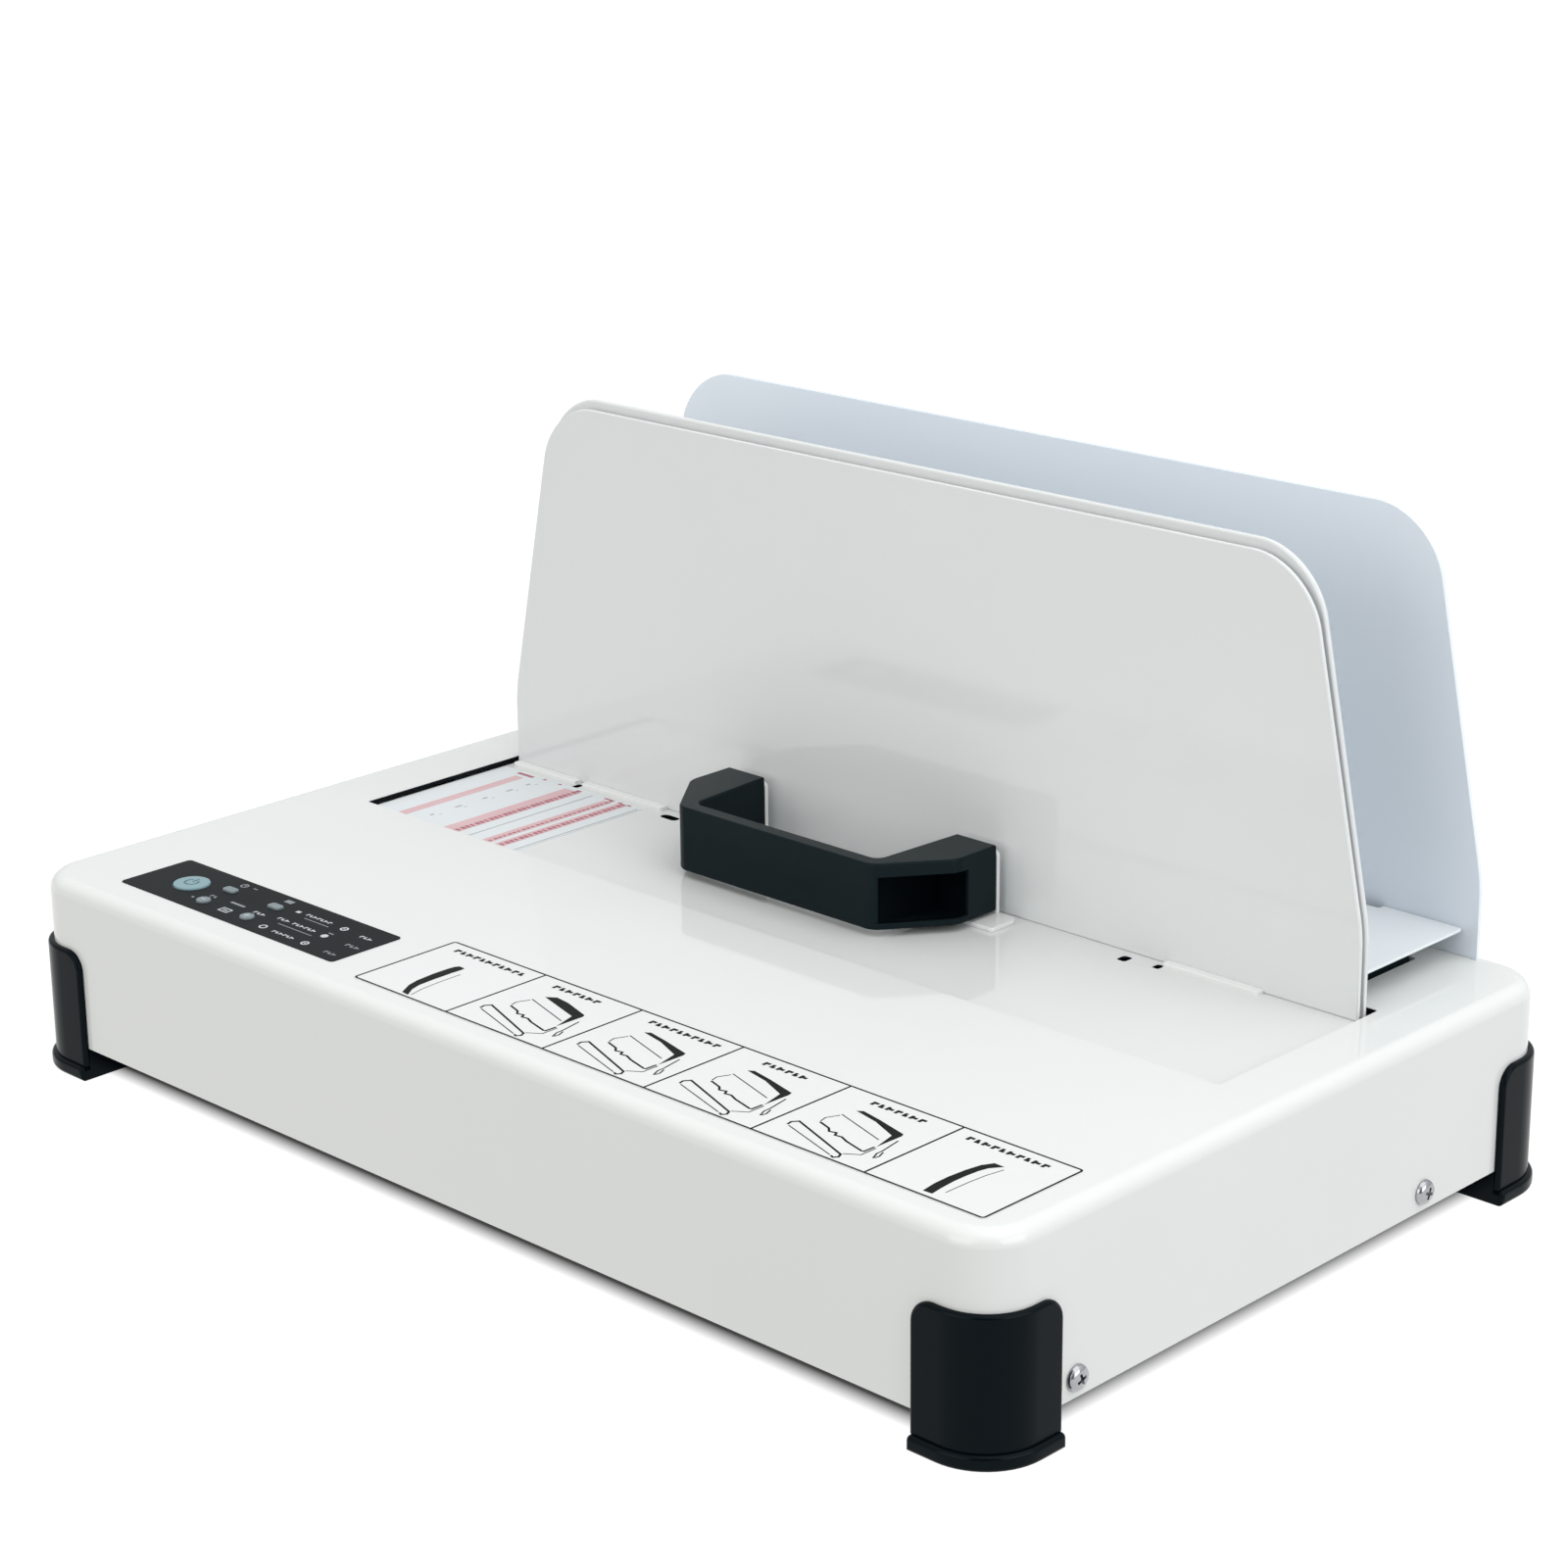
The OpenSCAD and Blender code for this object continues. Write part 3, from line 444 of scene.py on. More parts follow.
def surface(name, group, settings, bump, depth, metallic=0.0, specular=0.5, glint=NEUTRAL):
    """A material whose colour, roughness and relief come from one of the shader groups."""
    material = bpy.data.materials.new(name)
    material.use_nodes = True
    tree = material.node_tree
    texture = tree.nodes.new("ShaderNodeGroup")
    texture.node_tree = group
    feed(texture, settings)
    relief = tree.nodes.new("ShaderNodeBump")
    feed(relief, {"Strength": bump, "Distance": depth * MM, "Height": texture.outputs["Height"]})
    feed(tree.nodes["Principled BSDF"], {
        "Base Color": texture.outputs["Color"], "Roughness": texture.outputs["Roughness"],
        "Normal": relief.outputs["Normal"], "Metallic": metallic, "Specular IOR Level": specular,
        "Specular Tint": glint})
    material.diffuse_color = next(v for v in settings.values() if isinstance(v, tuple))
    return material


def coated(name, tone, shade, smooth=0.04, rough=0.08, peel=650.0, bump=0.015):
    settings = {"Tone": rgb(*tone), "Shade": rgb(*shade), "Peel Scale": peel, "Smooth": smooth,
                "Rough": rough}
    return surface(name, COAT, settings, bump, 0.05)


def moulded(name, tone, rubbed, smooth=0.36, rough=0.5, grain=1500.0, bump=0.12, specular=0.5, glint=NEUTRAL):
    settings = {"Tone": rgb(*tone), "Rubbed": rgb(*rubbed), "Grain Scale": grain, "Smooth": smooth,
                "Rough": rough}
    return surface(name, GRAIN, settings, bump, 0.08, specular=specular, glint=glint)


def drawn(name, tone, dull, smooth=0.18, rough=0.36, bump=0.08):
    settings = {"Tone": rgb(*tone), "Dull": rgb(*dull), "Smooth": smooth, "Rough": rough}
    return surface(name, DRAWN, settings, bump, 0.03, metallic=1.0)


def ink(name, tone, rubbed):
    return moulded(name, tone, rubbed, 0.4, 0.5, 1800.0, 0.05, 0.06)


WHITE = coated("white_coat", (0.73, 0.742, 0.733), (0.72, 0.733, 0.725))
# Cooler copy of the white coat for the clamp plates: a painted cool tint of the light on them.
PLATE_LIGHT_TINT_COAT = coated("plate_light_tint_coat", (0.727, 0.748, 0.752), (0.717, 0.739, 0.744))
# Lighter copy of the white coat for the plate tabs and the handle carrier: painted light on these small lit
# parts.
TAB_LIGHT_COAT = coated("tab_painted_light_coat", (0.8, 0.808, 0.806), (0.79, 0.799, 0.797))
# Brighter, bluish copy of the white coat for the rear plate: painted bluish shade and reflection between the
# plates.
REAR_SHADE_TINT_COAT = coated("grey_coat", (0.79, 0.85, 0.925), (0.78, 0.84, 0.915), 0.24, 0.27)
# Darker copy of the white coat for the sliding floor: painted shade in the recess between the plates.
FLOOR_SHADE_COAT = coated("floor_shade_coat", (0.703, 0.717, 0.713), (0.694, 0.708, 0.704))
# Lighter, bluish copy of the white coat for the heated rest: painted light lifting the shade between the
# plates, with a painted bluish tint of that shade.
REST_LIGHT_TINT_COAT = coated("rest_light_tint_coat", (0.78, 0.812, 0.835), (0.77, 0.802, 0.825))
ZINC = drawn("zinc_sheet", (0.55, 0.56, 0.57), (0.42, 0.43, 0.45), 0.3, 0.5)
STEEL = drawn("bright_steel", (0.42, 0.43, 0.44), (0.32, 0.33, 0.35), 0.1, 0.2)
RUBBER = moulded("black_rubber", (0.0008, 0.0026, 0.0044), (0.0012, 0.0032, 0.005), 0.18, 0.26,
                 bump=0.04, specular=0.085, glint=COOL)
PLASTIC = moulded("black_plastic", (0.0055, 0.0105, 0.013), (0.0063, 0.0115, 0.014), 0.26, 0.34,
                  bump=0.06, specular=0.08, glint=COOL)
# Matt black used only for painted shade inside the handle's pockets.
POCKET_SHADE_BLACK = moulded("pocket_shade_black", (0.001, 0.0024, 0.0036), (0.0012, 0.0028, 0.004), 0.5, 0.6,
                     bump=0.04, specular=0.02)
GLOSS = moulded("gloss_black", (0.01, 0.01, 0.011), (0.014, 0.014, 0.015), 0.16, 0.24, 900.0, 0.04)
DARK_FILM = moulded("dark_film", (0.0108, 0.013, 0.0145), (0.0125, 0.015, 0.0165), 0.3, 0.38, 2600.0,
                    0.06, 0.03)
WHITE_FILM = coated("white_film", (0.74, 0.752, 0.75), (0.73, 0.742, 0.74), 0.2, 0.28, 1500.0, 0.03)
PAPER = coated("label_paper", (0.7, 0.735, 0.76), (0.69, 0.725, 0.75), 0.46, 0.54, 1500.0, 0.01)
WHITE_PLASTIC = moulded("white_plastic", (0.72, 0.72, 0.69), (0.66, 0.66, 0.63))
GREY_PLASTIC = moulded("grey_plastic", (0.2, 0.24, 0.26), (0.22, 0.26, 0.28), 0.34, 0.44, 2200.0,
                       0.08, 0.2)
BLUE_PLASTIC = moulded("blue_plastic", (0.225, 0.345, 0.385), (0.235, 0.355, 0.395), 0.28, 0.38, 2200.0,
                       0.06, 0.2)
BOARD = moulded("circuit_board", (0.01, 0.07, 0.03), (0.015, 0.1, 0.045), 0.3, 0.42, 1200.0, 0.1)
WOOL = moulded("wool_board", (0.62, 0.58, 0.48), (0.55, 0.5, 0.4), 0.8, 0.95, 700.0, 0.5)
WOUND = drawn("wound_core", (0.5, 0.2, 0.08), (0.36, 0.14, 0.05), 0.25, 0.42)
BRASS = drawn("brass_posts", (0.62, 0.46, 0.2), (0.5, 0.36, 0.15))
BLACK_INK = ink("black_ink", (0.006, 0.006, 0.0065), (0.008, 0.008, 0.0085))
GREY_INK = ink("grey_ink", (0.42, 0.43, 0.44), (0.46, 0.47, 0.48))
PINK_INK = ink("pink_ink", (0.65, 0.44, 0.465), (0.68, 0.48, 0.5))
RED_INK = ink("red_ink", (0.4, 0.15, 0.185), (0.44, 0.18, 0.21))
PALE_INK = ink("pale_ink", (0.56, 0.59, 0.61), (0.5, 0.53, 0.55))
DIM_INK = ink("dim_ink", (0.26, 0.28, 0.3), (0.23, 0.25, 0.27))
BLUE_INK = ink("blue_ink", (0.1, 0.18, 0.21), (0.12, 0.2, 0.23))


# Housing


def make_housing_cover():
    half_w, half_d = HOUSING_W / 2, HOUSING_D / 2
    bm = block(-half_w, half_w, -half_d, half_d, UNDER_Z, TOP_Z)
    soften(bm, edges_along(bm, Z), CORNER_R, 14)
    soften(bm, list(facing(bm, Z, 1).edges), EDGE_R, 7)
    bmesh.ops.delete(bm, geom=[facing(bm, Z, -1)], context="FACES")
    top = place(0, 0, TOP_Z)
    heater_l, heater_r, heater_rear = -170.2, 176.2, 114.7
    mouth = [(OPENING_L, OPENING_FRONT), (OPENING_R, OPENING_FRONT), (OPENING_R, OPENING_REAR),
             (heater_r, OPENING_REAR), (heater_r, heater_rear), (heater_l, heater_rear),
             (heater_l, OPENING_REAR), (OPENING_L, OPENING_REAR)]
    holes = [cornered_hole(bm, top, mouth, 0.8)]
    for x in REAR_TAILS_X:
        reach = TAIL_HALF + SLACK
        slit = corners_of(x - reach, x + reach, REAR_PLATE_Y - SLACK, REAR_PLATE_Y + SHEET_T + SLACK)
        holes.append(cornered_hole(bm, top, slit, 0.3))
    holes += key_holes(bm, TOP_Z)
    open_holes(bm, facing(bm, Z, 1), holes)
    for side in (-1, 1):
        holes = [round_hole(bm, turned(90, "Y", (side * half_w, y, SIDE_SCREW_Z)), SIDE_HOLE_R)
                 for y in SIDE_SCREW_Y]
        open_holes(bm, facing(bm, X, side), holes)
    rear = turned(90, "X", (0, REAR_Y, FITTING_Z))
    holes = []
    for x, (wide, tall) in ((INLET_X, INLET_HALF), (SWITCH_X, SWITCH_HALF)):
        wide, tall = wide + SLACK, tall + SLACK
        holes.append(cornered_hole(bm, rear, corners_of(x - wide, x + wide, -tall, tall), 1))
    open_holes(bm, facing(bm, Y, 1), holes)
    bmesh.ops.recalc_face_normals(bm, faces=bm.faces)
    finish(bm, "housing_shell", WHITE, "machine", ["housing_cover"], 0.3, 2, SHEET_T)


def make_opening_shade_strips():
    """Dark strips on the left wall of the opening and in its rear right corner: painted shade of the gaps
    there.
    """
    low, high, depth = 67.05, 68.3, 0.25
    strips = gather(block(OPENING_L, OPENING_L + depth, -6.5, 69.5, low, high),
                    block(176.9, 192.1, OPENING_REAR - depth, OPENING_REAR, low, high))
    finish(strips, "opening_shade_strips", RUBBER, "machine")


def key_holes(bm, z):
    """Holes for all keys through the cover or the film on it."""
    holes = [round_hole(bm, place(*POWER_AT, z), POWER_R + KEY_GAP, 48)]
    for at in DOT_KEYS.values():
        holes.append(round_hole(bm, place(*at, z), DOT_R + KEY_GAP))
    half_x, half_y = BAR_HALF[0] + KEY_GAP, BAR_HALF[1] + KEY_GAP
    for at in BAR_KEYS.values():
        holes.append(cornered_hole(bm, place(*at, z), corners_of(-half_x, half_x, -half_y, half_y), 1.2))
    return holes


# Feet, shaped flat along the housing wall and then bent round the corner

BOOT_R = CORNER_R + 2.1
BOOT_ARC = BOOT_R * math.pi / 2
BOOT_LEG = 10.5
BOOT_HALF = BOOT_ARC / 2 + BOOT_LEG
BOOT_WALL, BOOT_TOP = 2.0, 45.5
LIP_H, LIP_OUT = 5.0, 1.6


def bend_round_corner(bm):
    """Bends a bar that runs along X, with its outer side towards -Y, round the housing corner."""
    steps = 14
    for i in range(steps + 1):
        at = -BOOT_ARC / 2 + BOOT_ARC * i / steps
        bmesh.ops.bisect_plane(bm, geom=bm.verts[:] + bm.edges[:] + bm.faces[:], dist=1e-5,
                               plane_co=(at, 0, 0), plane_no=(1, 0, 0))
    for v in bm.verts:
        along, out = v.co.x, -v.co.y
        turn = max(-BOOT_ARC / 2, min(BOOT_ARC / 2, along)) / BOOT_R + math.pi / 4
        beyond = along - (turn - math.pi / 4) * BOOT_R
        reach = BOOT_R + out
        v.co.x = -CORNER_R + reach * math.cos(turn) - beyond * math.sin(turn)
        v.co.y = -CORNER_R + reach * math.sin(turn) + beyond * math.cos(turn)
    bmesh.ops.recalc_face_normals(bm, faces=bm.faces)
    return bm


def boot_wall():
    """Flat blank of the wall with two round ears, standing on the lip."""
    bm = flat(corners_of(-BOOT_HALF, BOOT_HALF, LIP_H - 0.1, BOOT_TOP))
    ears = [v for v in bm.verts if v.co.y > LIP_H]
    round_corners(bm, ears, 7, 10)
    thicken(bm, -BOOT_WALL)
    stand_up(bm, 0)
    outer = [e for e in edges_between(bm, Y, -1e-3, 1e-3) if max(v.co.z for v in e.verts) > LIP_H]
    soften(bm, outer, 1.3, 5)
    soften(bm, edges_between(bm, Y, BOOT_WALL - 1e-3), 0.3, 2)
    return bend_round_corner(bm)


def boot_lip():
    """Flat blank of the bulged lip round the foot of the wall."""
    bm = block(-BOOT_HALF, BOOT_HALF, -LIP_OUT, BOOT_WALL, 0, LIP_H)
    top_ends = [e for e in bm.edges if abs(e.verts[0].co.y - e.verts[1].co.y) > 1 and e.verts[0].co.z > 1]
    soften(bm, top_ends, 1.8, 6)
    outer = [e for e in bm.edges if all(v.co.y < 0.01 - LIP_OUT for v in e.verts)]
    soften(bm, outer, 1.5, 6)
    return bend_round_corner(bm)


def boot_pad():
    """Block under the housing corner with a sunk hole for the screw."""
    reach = CORNER_R + BOOT_LEG
    bm = flat(corners_of(-reach, 0.1, -reach, 0.1))
    outer = [v for v in bm.verts if v.co.x > 0 and v.co.y > 0]
    round_corners(bm, outer, CORNER_R + 0.1, 14)
    thicken(bm, 10.95)
    inner = [e for e in edges_along(bm, Z) if all(max(v.co.x, v.co.y) < 1 - reach for v in e.verts)]
    soften(bm, inner, 1.2, 4)
    bore = spun([(0, -1), (4.5, -1), (4.5, 5.4), (2.2, 5.4), (2.2, 12), (0, 12)], 32)
    return cut(bm, move(bore, place(-18, -18, 0)))


def make_feet():
    for depth, sy in (("front", -1), ("rear", 1)):
        for side, sx in (("left", -1), ("right", 1)):
            boot = gather(boot_wall(), boot_lip(), boot_pad())
            move(boot, place(sx * HOUSING_W / 2, sy * HOUSING_D / 2, 0, sx, sy, 1))
            node = f"foot_{depth}_{side}"
            finish(boot, f"{node}_boot", RUBBER, "machine", [node])


# Screws


def cross_screw():
    """Pan head screw along Z with a cross recess, its seat at the origin."""
    head = spun([(0, -6), (1.6, -6), (2, -5.6), (2, -0.05), (3.7, -0.05), (4, 0.35), (3.85, 1.1),
                 (3.4, 1.75), (2.6, 2.2), (1.4, 2.38), (0, 2.4)], 40)
    slot = block(-2.3, 2.3, -0.5, 0.5, 0.9, 3)
    low = [v for v in slot.verts if v.co.z < 2]
    bmesh.ops.scale(slot, vec=(0.5, 0.8, 1), verts=low)
    recess = join(slot.copy(), move(slot, turned(90, "Z")))
    return cut(head, recess)


def make_cover_screws():
    places = []
    for side in (-1, 1):
        for i, y in enumerate(SIDE_SCREW_Y):
            facing_out = turned(90 * side, "Y", (side * HOUSING_W / 2, y, SIDE_SCREW_Z))
            places.append(facing_out @ turned(20 + 50 * i, "Z"))
    screw = cross_screw()
    finish(copies(screw, places), "side_screws", STEEL, "machine", ["cover_screws"])
    screw.free()


# Tall plates


def tall_plate(low_z, top_z, shift, thickness, rim, narrow=0):
    """Upright plate with a kink in its sides and two large round corners."""
    low, high = PLATE_HALF_LOW - narrow, PLATE_HALF_HIGH - narrow
    bm = flat([(shift - low, low_z), (shift + low, low_z), (shift + low, KINK_Z), (shift + high, top_z),
               (shift - high, top_z), (shift - low, KINK_Z)])
    lean = math.atan2(low - high, top_z - KINK_Z)
    tangent = PLATE_CORNER_R / math.tan((math.pi / 2 + lean) / 2)
    round_corners(bm, [v for v in bm.verts if v.co.y > top_z - 1], tangent, 18)
    round_corners(bm, [v for v in bm.verts if abs(v.co.y - KINK_Z) < 1], 5, 6)
    thicken(bm, -thickness)
    stand_up(bm, 0)
    soften(bm, level_edges(bm, Y), rim, 5)
    return bm


def make_plates():
    front = move(tall_plate(FLOOR_Z, FRONT_PLATE_TOP, MIDDLE_X, SHEET_T, 0.6), place(0, FRONT_PLATE_Y))
    tabs = []
    tab_depth = 3.6
    for x0, x1 in ((-184, -150.6), (-147.4, -106), (119, 156)):
        tab = flat(corners_of(x0, x1, FRONT_PLATE_Y - tab_depth, FRONT_PLATE_Y), z=FLOOR_Z)
        round_corners(tab, [v for v in tab.verts if v.co.y < FRONT_PLATE_Y - 1], 1.2, 4)
        thicken(tab, SHEET_T)
        soften(tab, edges_between(tab, Z, FLOOR_Z + 1), 0.4, 3)
        tabs.append(tab)
    finish(front, "front_clamp_plate", PLATE_LIGHT_TINT_COAT, "jaw", ["front_plate"])
    finish(gather(*tabs), "plate_tabs", TAB_LIGHT_COAT, "jaw")
    press = move(tall_plate(FLOOR_Z, PRESS_PLATE_TOP, MIDDLE_X, 2, 0.95), place(0, PRESS_PLATE_Y))
    finish(press, "press_clamp_plate", PLATE_LIGHT_TINT_COAT, "jaw", ["press_plate"])
    narrow, tail_low = 3, 38.5
    rear = tall_plate(TOP_Z, REAR_PLATE_TOP, MIDDLE_X + narrow, SHEET_T, 0.3, narrow)
    move(rear, place(0, REAR_PLATE_Y))
    tails = [block(x - TAIL_HALF, x + TAIL_HALF, REAR_PLATE_Y, REAR_PLATE_Y + SHEET_T, tail_low, TOP_Z)
             for x in REAR_TAILS_X]
    finish(gather(rear, *tails), "rear_stop_plate", REAR_SHADE_TINT_COAT, "machine", ["rear_plate"])


# Jaw


def make_jaw_floor():
    bm = flat(corners_of(*JAW_FLOOR), 0.8, 4, FLOOR_LOW)
    level = place(0, 0, FLOOR_LOW)
    holes = [cornered_hole(bm, level, corners_of(*sides), reach, 8) for *sides, reach in FLOOR_HOLES]
    open_holes(bm, bm.faces[:][0], holes)
    thicken(bm, SHEET_T)
    finish(bm, "sliding_floor", FLOOR_SHADE_COAT, "jaw", ["jaw_floor"], 0.12, 2)

    # Thin black sleeves on the walls of the floor's holes: painted shade inside the holes.
    blanks = [flat(corners_of(*sides), reach, 8, FLOOR_LOW + 0.05) for *sides, reach in FLOOR_HOLES]
    shade_sleeves = thicken(gather(*blanks), 1.35)
    caps = [f for f in shade_sleeves.faces if abs(f.normal.z) > 0.9]
    bmesh.ops.delete(shade_sleeves, geom=caps, context="FACES_ONLY")
    finish(shade_sleeves, "hole_shade_sleeves", RUBBER, "jaw", wall=0.25)


def make_handle_bracket():
    foot = flat(corners_of(-77.7, 60.3, 46.25, 59.25), z=FLOOR_Z)
    round_corners(foot, [v for v in foot.verts if v.co.y < 50], 1.5, 5)
    round_corners(foot, [v for v in foot.verts if v.co.y > 59], 3, 6)
    thicken(foot, SHEET_T)
    ears = []
    leg_x, ear_half, ear_top = 52.35, 8.65, 89.3
    for x in (HANDLE_X - leg_x, HANDLE_X + leg_x):
        ear = flat(corners_of(x - ear_half, x + ear_half, FLOOR_Z + SHEET_T, ear_top))
        round_corners(ear, [v for v in ear.verts if v.co.y > ear_top - 1], 2, 5)
        ears.append(stand_up(thicken(ear, -SHEET_T), HANDLE_Y))
    finish(gather(foot, *ears), "handle_carrier", TAB_LIGHT_COAT, "jaw", ["handle_bracket"], 0.3, 2)


def handle_pair(bm):
    """The shape for the right leg and its mirror image for the left one."""
    return gather(bm.copy(), move(bm, place(sx=-1)))


def make_handle():
    end_y, shoulder_y, bend_y, front_y = 0, -19, -35.7, -41.5
    outer = [(61, end_y), (61, shoulder_y), (43.8, front_y)]
    inner = [(41.4, bend_y), (43.7, end_y)]
    bm = flat([(-x, y) for x, y in outer] + outer[::-1] + inner[::-1] + [(-x, y) for x, y in inner])
    for depth, reach, steps in ((bend_y, 3, 8), (front_y, 3, 6), (shoulder_y, 2.5, 5), (end_y, 0.8, 3)):
        round_corners(bm, [v for v in bm.verts if abs(v.co.y - depth) < 0.1], reach, steps)
    thicken(bm, HANDLE_H)
    soften(bm, level_edges(bm, Z), 1.3, 5)
    pocket = flat([(46.7, -14), (71, -14), (71, -29), (49.9, -43.5), (44.7, -40.2)], z=2.3)
    thicken(pocket, 15.7)
    soften(pocket, edges_along(pocket, Z), 0.6, 3)
    stand = place(HANDLE_X, HANDLE_Y, HANDLE_Z)
    bm = move(cut(bm, handle_pair(pocket)), stand)
    finish(bm, "bow_handle", PLASTIC, "jaw", ["handle"], smooth=32)

    # Thin matt black sheets inside the pockets: painted shade, darker than the handle's own plastic.
    pocket_shade_sheet = thicken(flat([(59.9, -14.1), (46.8, -14.1), (44.9, -39), (59.9, -18.3)], z=2.4), 15.5)
    mouth = [f for f in pocket_shade_sheet.faces if f.normal.x > 0.5]
    bmesh.ops.delete(pocket_shade_sheet, geom=mouth, context="FACES_ONLY")
    pocket_shade_sheets = move(handle_pair(pocket_shade_sheet), stand)
    finish(pocket_shade_sheets, "pocket_painted_shade", POCKET_SHADE_BLACK, "jaw", wall=0.2)


def make_book_rest():
    left, right, front, rear = -179.75, 185.75, 71.25, 125.45
    step_y = rear - 2.5
    bm = flat([(left, front), (right, front), (right, rear), (right - 30, rear), (right - 30, step_y),
               (left + 30, step_y), (left + 30, rear), (left, rear)], z=REST_Z - 1)
    corners = [v for v in bm.verts if v.co.x < left + 1 or v.co.x > right - 1]
    round_corners(bm, corners, 1.5, 6)
    round_corners(bm, [v for v in bm.verts if abs(v.co.y - step_y) < 0.1], 0.8, 4)
    thicken(bm, 1)
    finish(bm, "heated_rest", REST_LIGHT_TINT_COAT, "machine", ["book_rest"], 0.3, 3)


def make_heater_frame():
    wall, depth = 4, 17
    bm = block(-169, 175, 73, 113.5, 57, 77)
    soften(bm, edges_along(bm, Z), 1.5, 4)
    top = facing(bm, Z, 1)
    bmesh.ops.inset_region(bm, faces=[top], thickness=wall, use_even_offset=True)
    floor = bmesh.ops.extrude_discrete_faces(bm, faces=[top])["faces"]
    bmesh.ops.translate(bm, vec=(0, 0, -depth), verts=floor[0].verts[:])
    finish(bm, "heater_trough", PLASTIC, "machine", ["heater_frame"], 0.4, 2)


# Keys and control panel


def round_key(at, radius):
    rim = min(0.5, radius / 6)
    flange = radius + FLANGE_W
    profile = [(0, KEY_LOW), (radius, KEY_LOW),
               (radius, FLANGE_LOW), (flange, FLANGE_LOW), (flange, FLANGE_TOP),
               (radius, FLANGE_TOP), (radius, KEY_TOP - rim), (radius - 0.3 * rim, KEY_TOP - 0.3 * rim),
               (radius - rim, KEY_TOP), (radius * 0.5, KEY_TOP + 0.02), (0, KEY_TOP + 0.04)]
    return move(spun(profile, 48), place(*at))


def bar_key(at):
    def layer(grow, low, high, reach):
        half_x, half_y = BAR_HALF[0] + grow, BAR_HALF[1] + grow
        return thicken(flat(corners_of(-half_x, half_x, -half_y, half_y), reach, 6, low), high - low)
    cap = layer(0, FLANGE_TOP, KEY_TOP, 1)
    soften(cap, edges_between(cap, Z, KEY_TOP - 0.4), 0.3, 3)
    flange = layer(FLANGE_W, FLANGE_LOW, FLANGE_TOP, 1.6)
    stem = layer(0, KEY_LOW, FLANGE_LOW, 1)
    return move(gather(cap, flange, stem), place(*at))


def make_keys():
    finish(round_key(POWER_AT, POWER_R), "power_cap", BLUE_PLASTIC, "power_button",
           ["power_key"])
    caps = {name: bar_key(at) for name, at in BAR_KEYS.items()}
    caps.update({name: round_key(at, DOT_R) for name, at in DOT_KEYS.items()})
    for name, cap in caps.items():
        finish(cap, f"{name}_cap", GREY_PLASTIC, f"{name}_button", [f"{name}_key"])


def make_panel():
    bm = flat(corners_of(*PANEL), 1.5, 6, TOP_Z)
    open_holes(bm, bm.faces[:][0], key_holes(bm, TOP_Z))
    thicken(bm, FILM_T)
    finish(bm, "panel_film", DARK_FILM, "machine", ["control_overlay"], 0.06, 2)


# Printing


def ribbon(bm, path, width, z, closed=False):
    """Adds a flat printed line of even width along a path."""
    points = [Vector((x, y, z)) for x, y in path]
    rows = ([], [])
    for i, point in enumerate(points):
        first, last = i == 0 and not closed, i == len(points) - 1 and not closed
        after = points[(i + 1) % len(points)] - point if not last else None
        before = point - points[i - 1] if not first else after
        after = after or before
        sides = [Vector((-way.y, way.x, 0)).normalized() for way in (before, after)]
        middle = (sides[0] + sides[1]).normalized()
        reach = width / 2 / max(0.4, middle.dot(sides[0]))
        for row, sign in zip(rows, (1, -1)):
            row.append(bm.verts.new(point + middle * reach * sign))
    edges = []
    for row in rows:
        pairs = list(zip(row, row[1:])) + ([(row[-1], row[0])] if closed else [])
        edges += [bm.edges.new(pair) for pair in pairs]
    bmesh.ops.bridge_loops(bm, edges=edges)


def patch(bm, points, z):
    """Adds a printed shape filled with ink."""
    bm.faces.new([bm.verts.new((x, y, z)) for x, y in points])


def dash(bm, x, y, length, depth, z):
    patch(bm, corners_of(x, x + length, y - depth / 2, y + depth / 2), z)


def ring(bm, x, y, radius, width, z, start=0, end=360, steps=20):
    """Adds a printed ring, or an arc between two angles in degrees."""
    closed = end - start >= 360
    count = steps if closed else steps + 1
    angles = [math.radians(start + (end - start) * i / steps) for i in range(count)]
    ribbon(bm, [(x + radius * math.cos(a), y + radius * math.sin(a)) for a in angles], width, z, closed)


def dot(bm, x, y, radius, z):
    bmesh.ops.create_circle(bm, cap_ends=True, segments=16, radius=radius, matrix=place(x, y, z))


def raised(bm):
    """Printing as a thin layer on its ground, whichever way its faces were drawn."""
    for f in bm.faces:
        f.normal_update()
        if f.normal.z < 0:
            f.normal_flip()
    return thicken(bm, INK_T)


def printed(bm, name, material, body):
    finish(raised(bm), name, material, body)


def mark_row(bm, x, stop, y, tall, z, weight=0.36):
    """Adds a row of small plain signs, like a line of print seen from afar."""
    stem, gap = tall * weight, tall * 0.36
    k = 0
    while x + tall * 0.8 < stop:
        wide = tall * (0.95, 0.75, 1.15)[k % 3]
        dash(bm, x, y, stem, tall, z)
        dash(bm, x + stem + 0.02, y + (tall - stem) / 2 * (1, -1, 0)[k % 3], wide - stem, stem, z)
        x += wide + gap
        k += 1


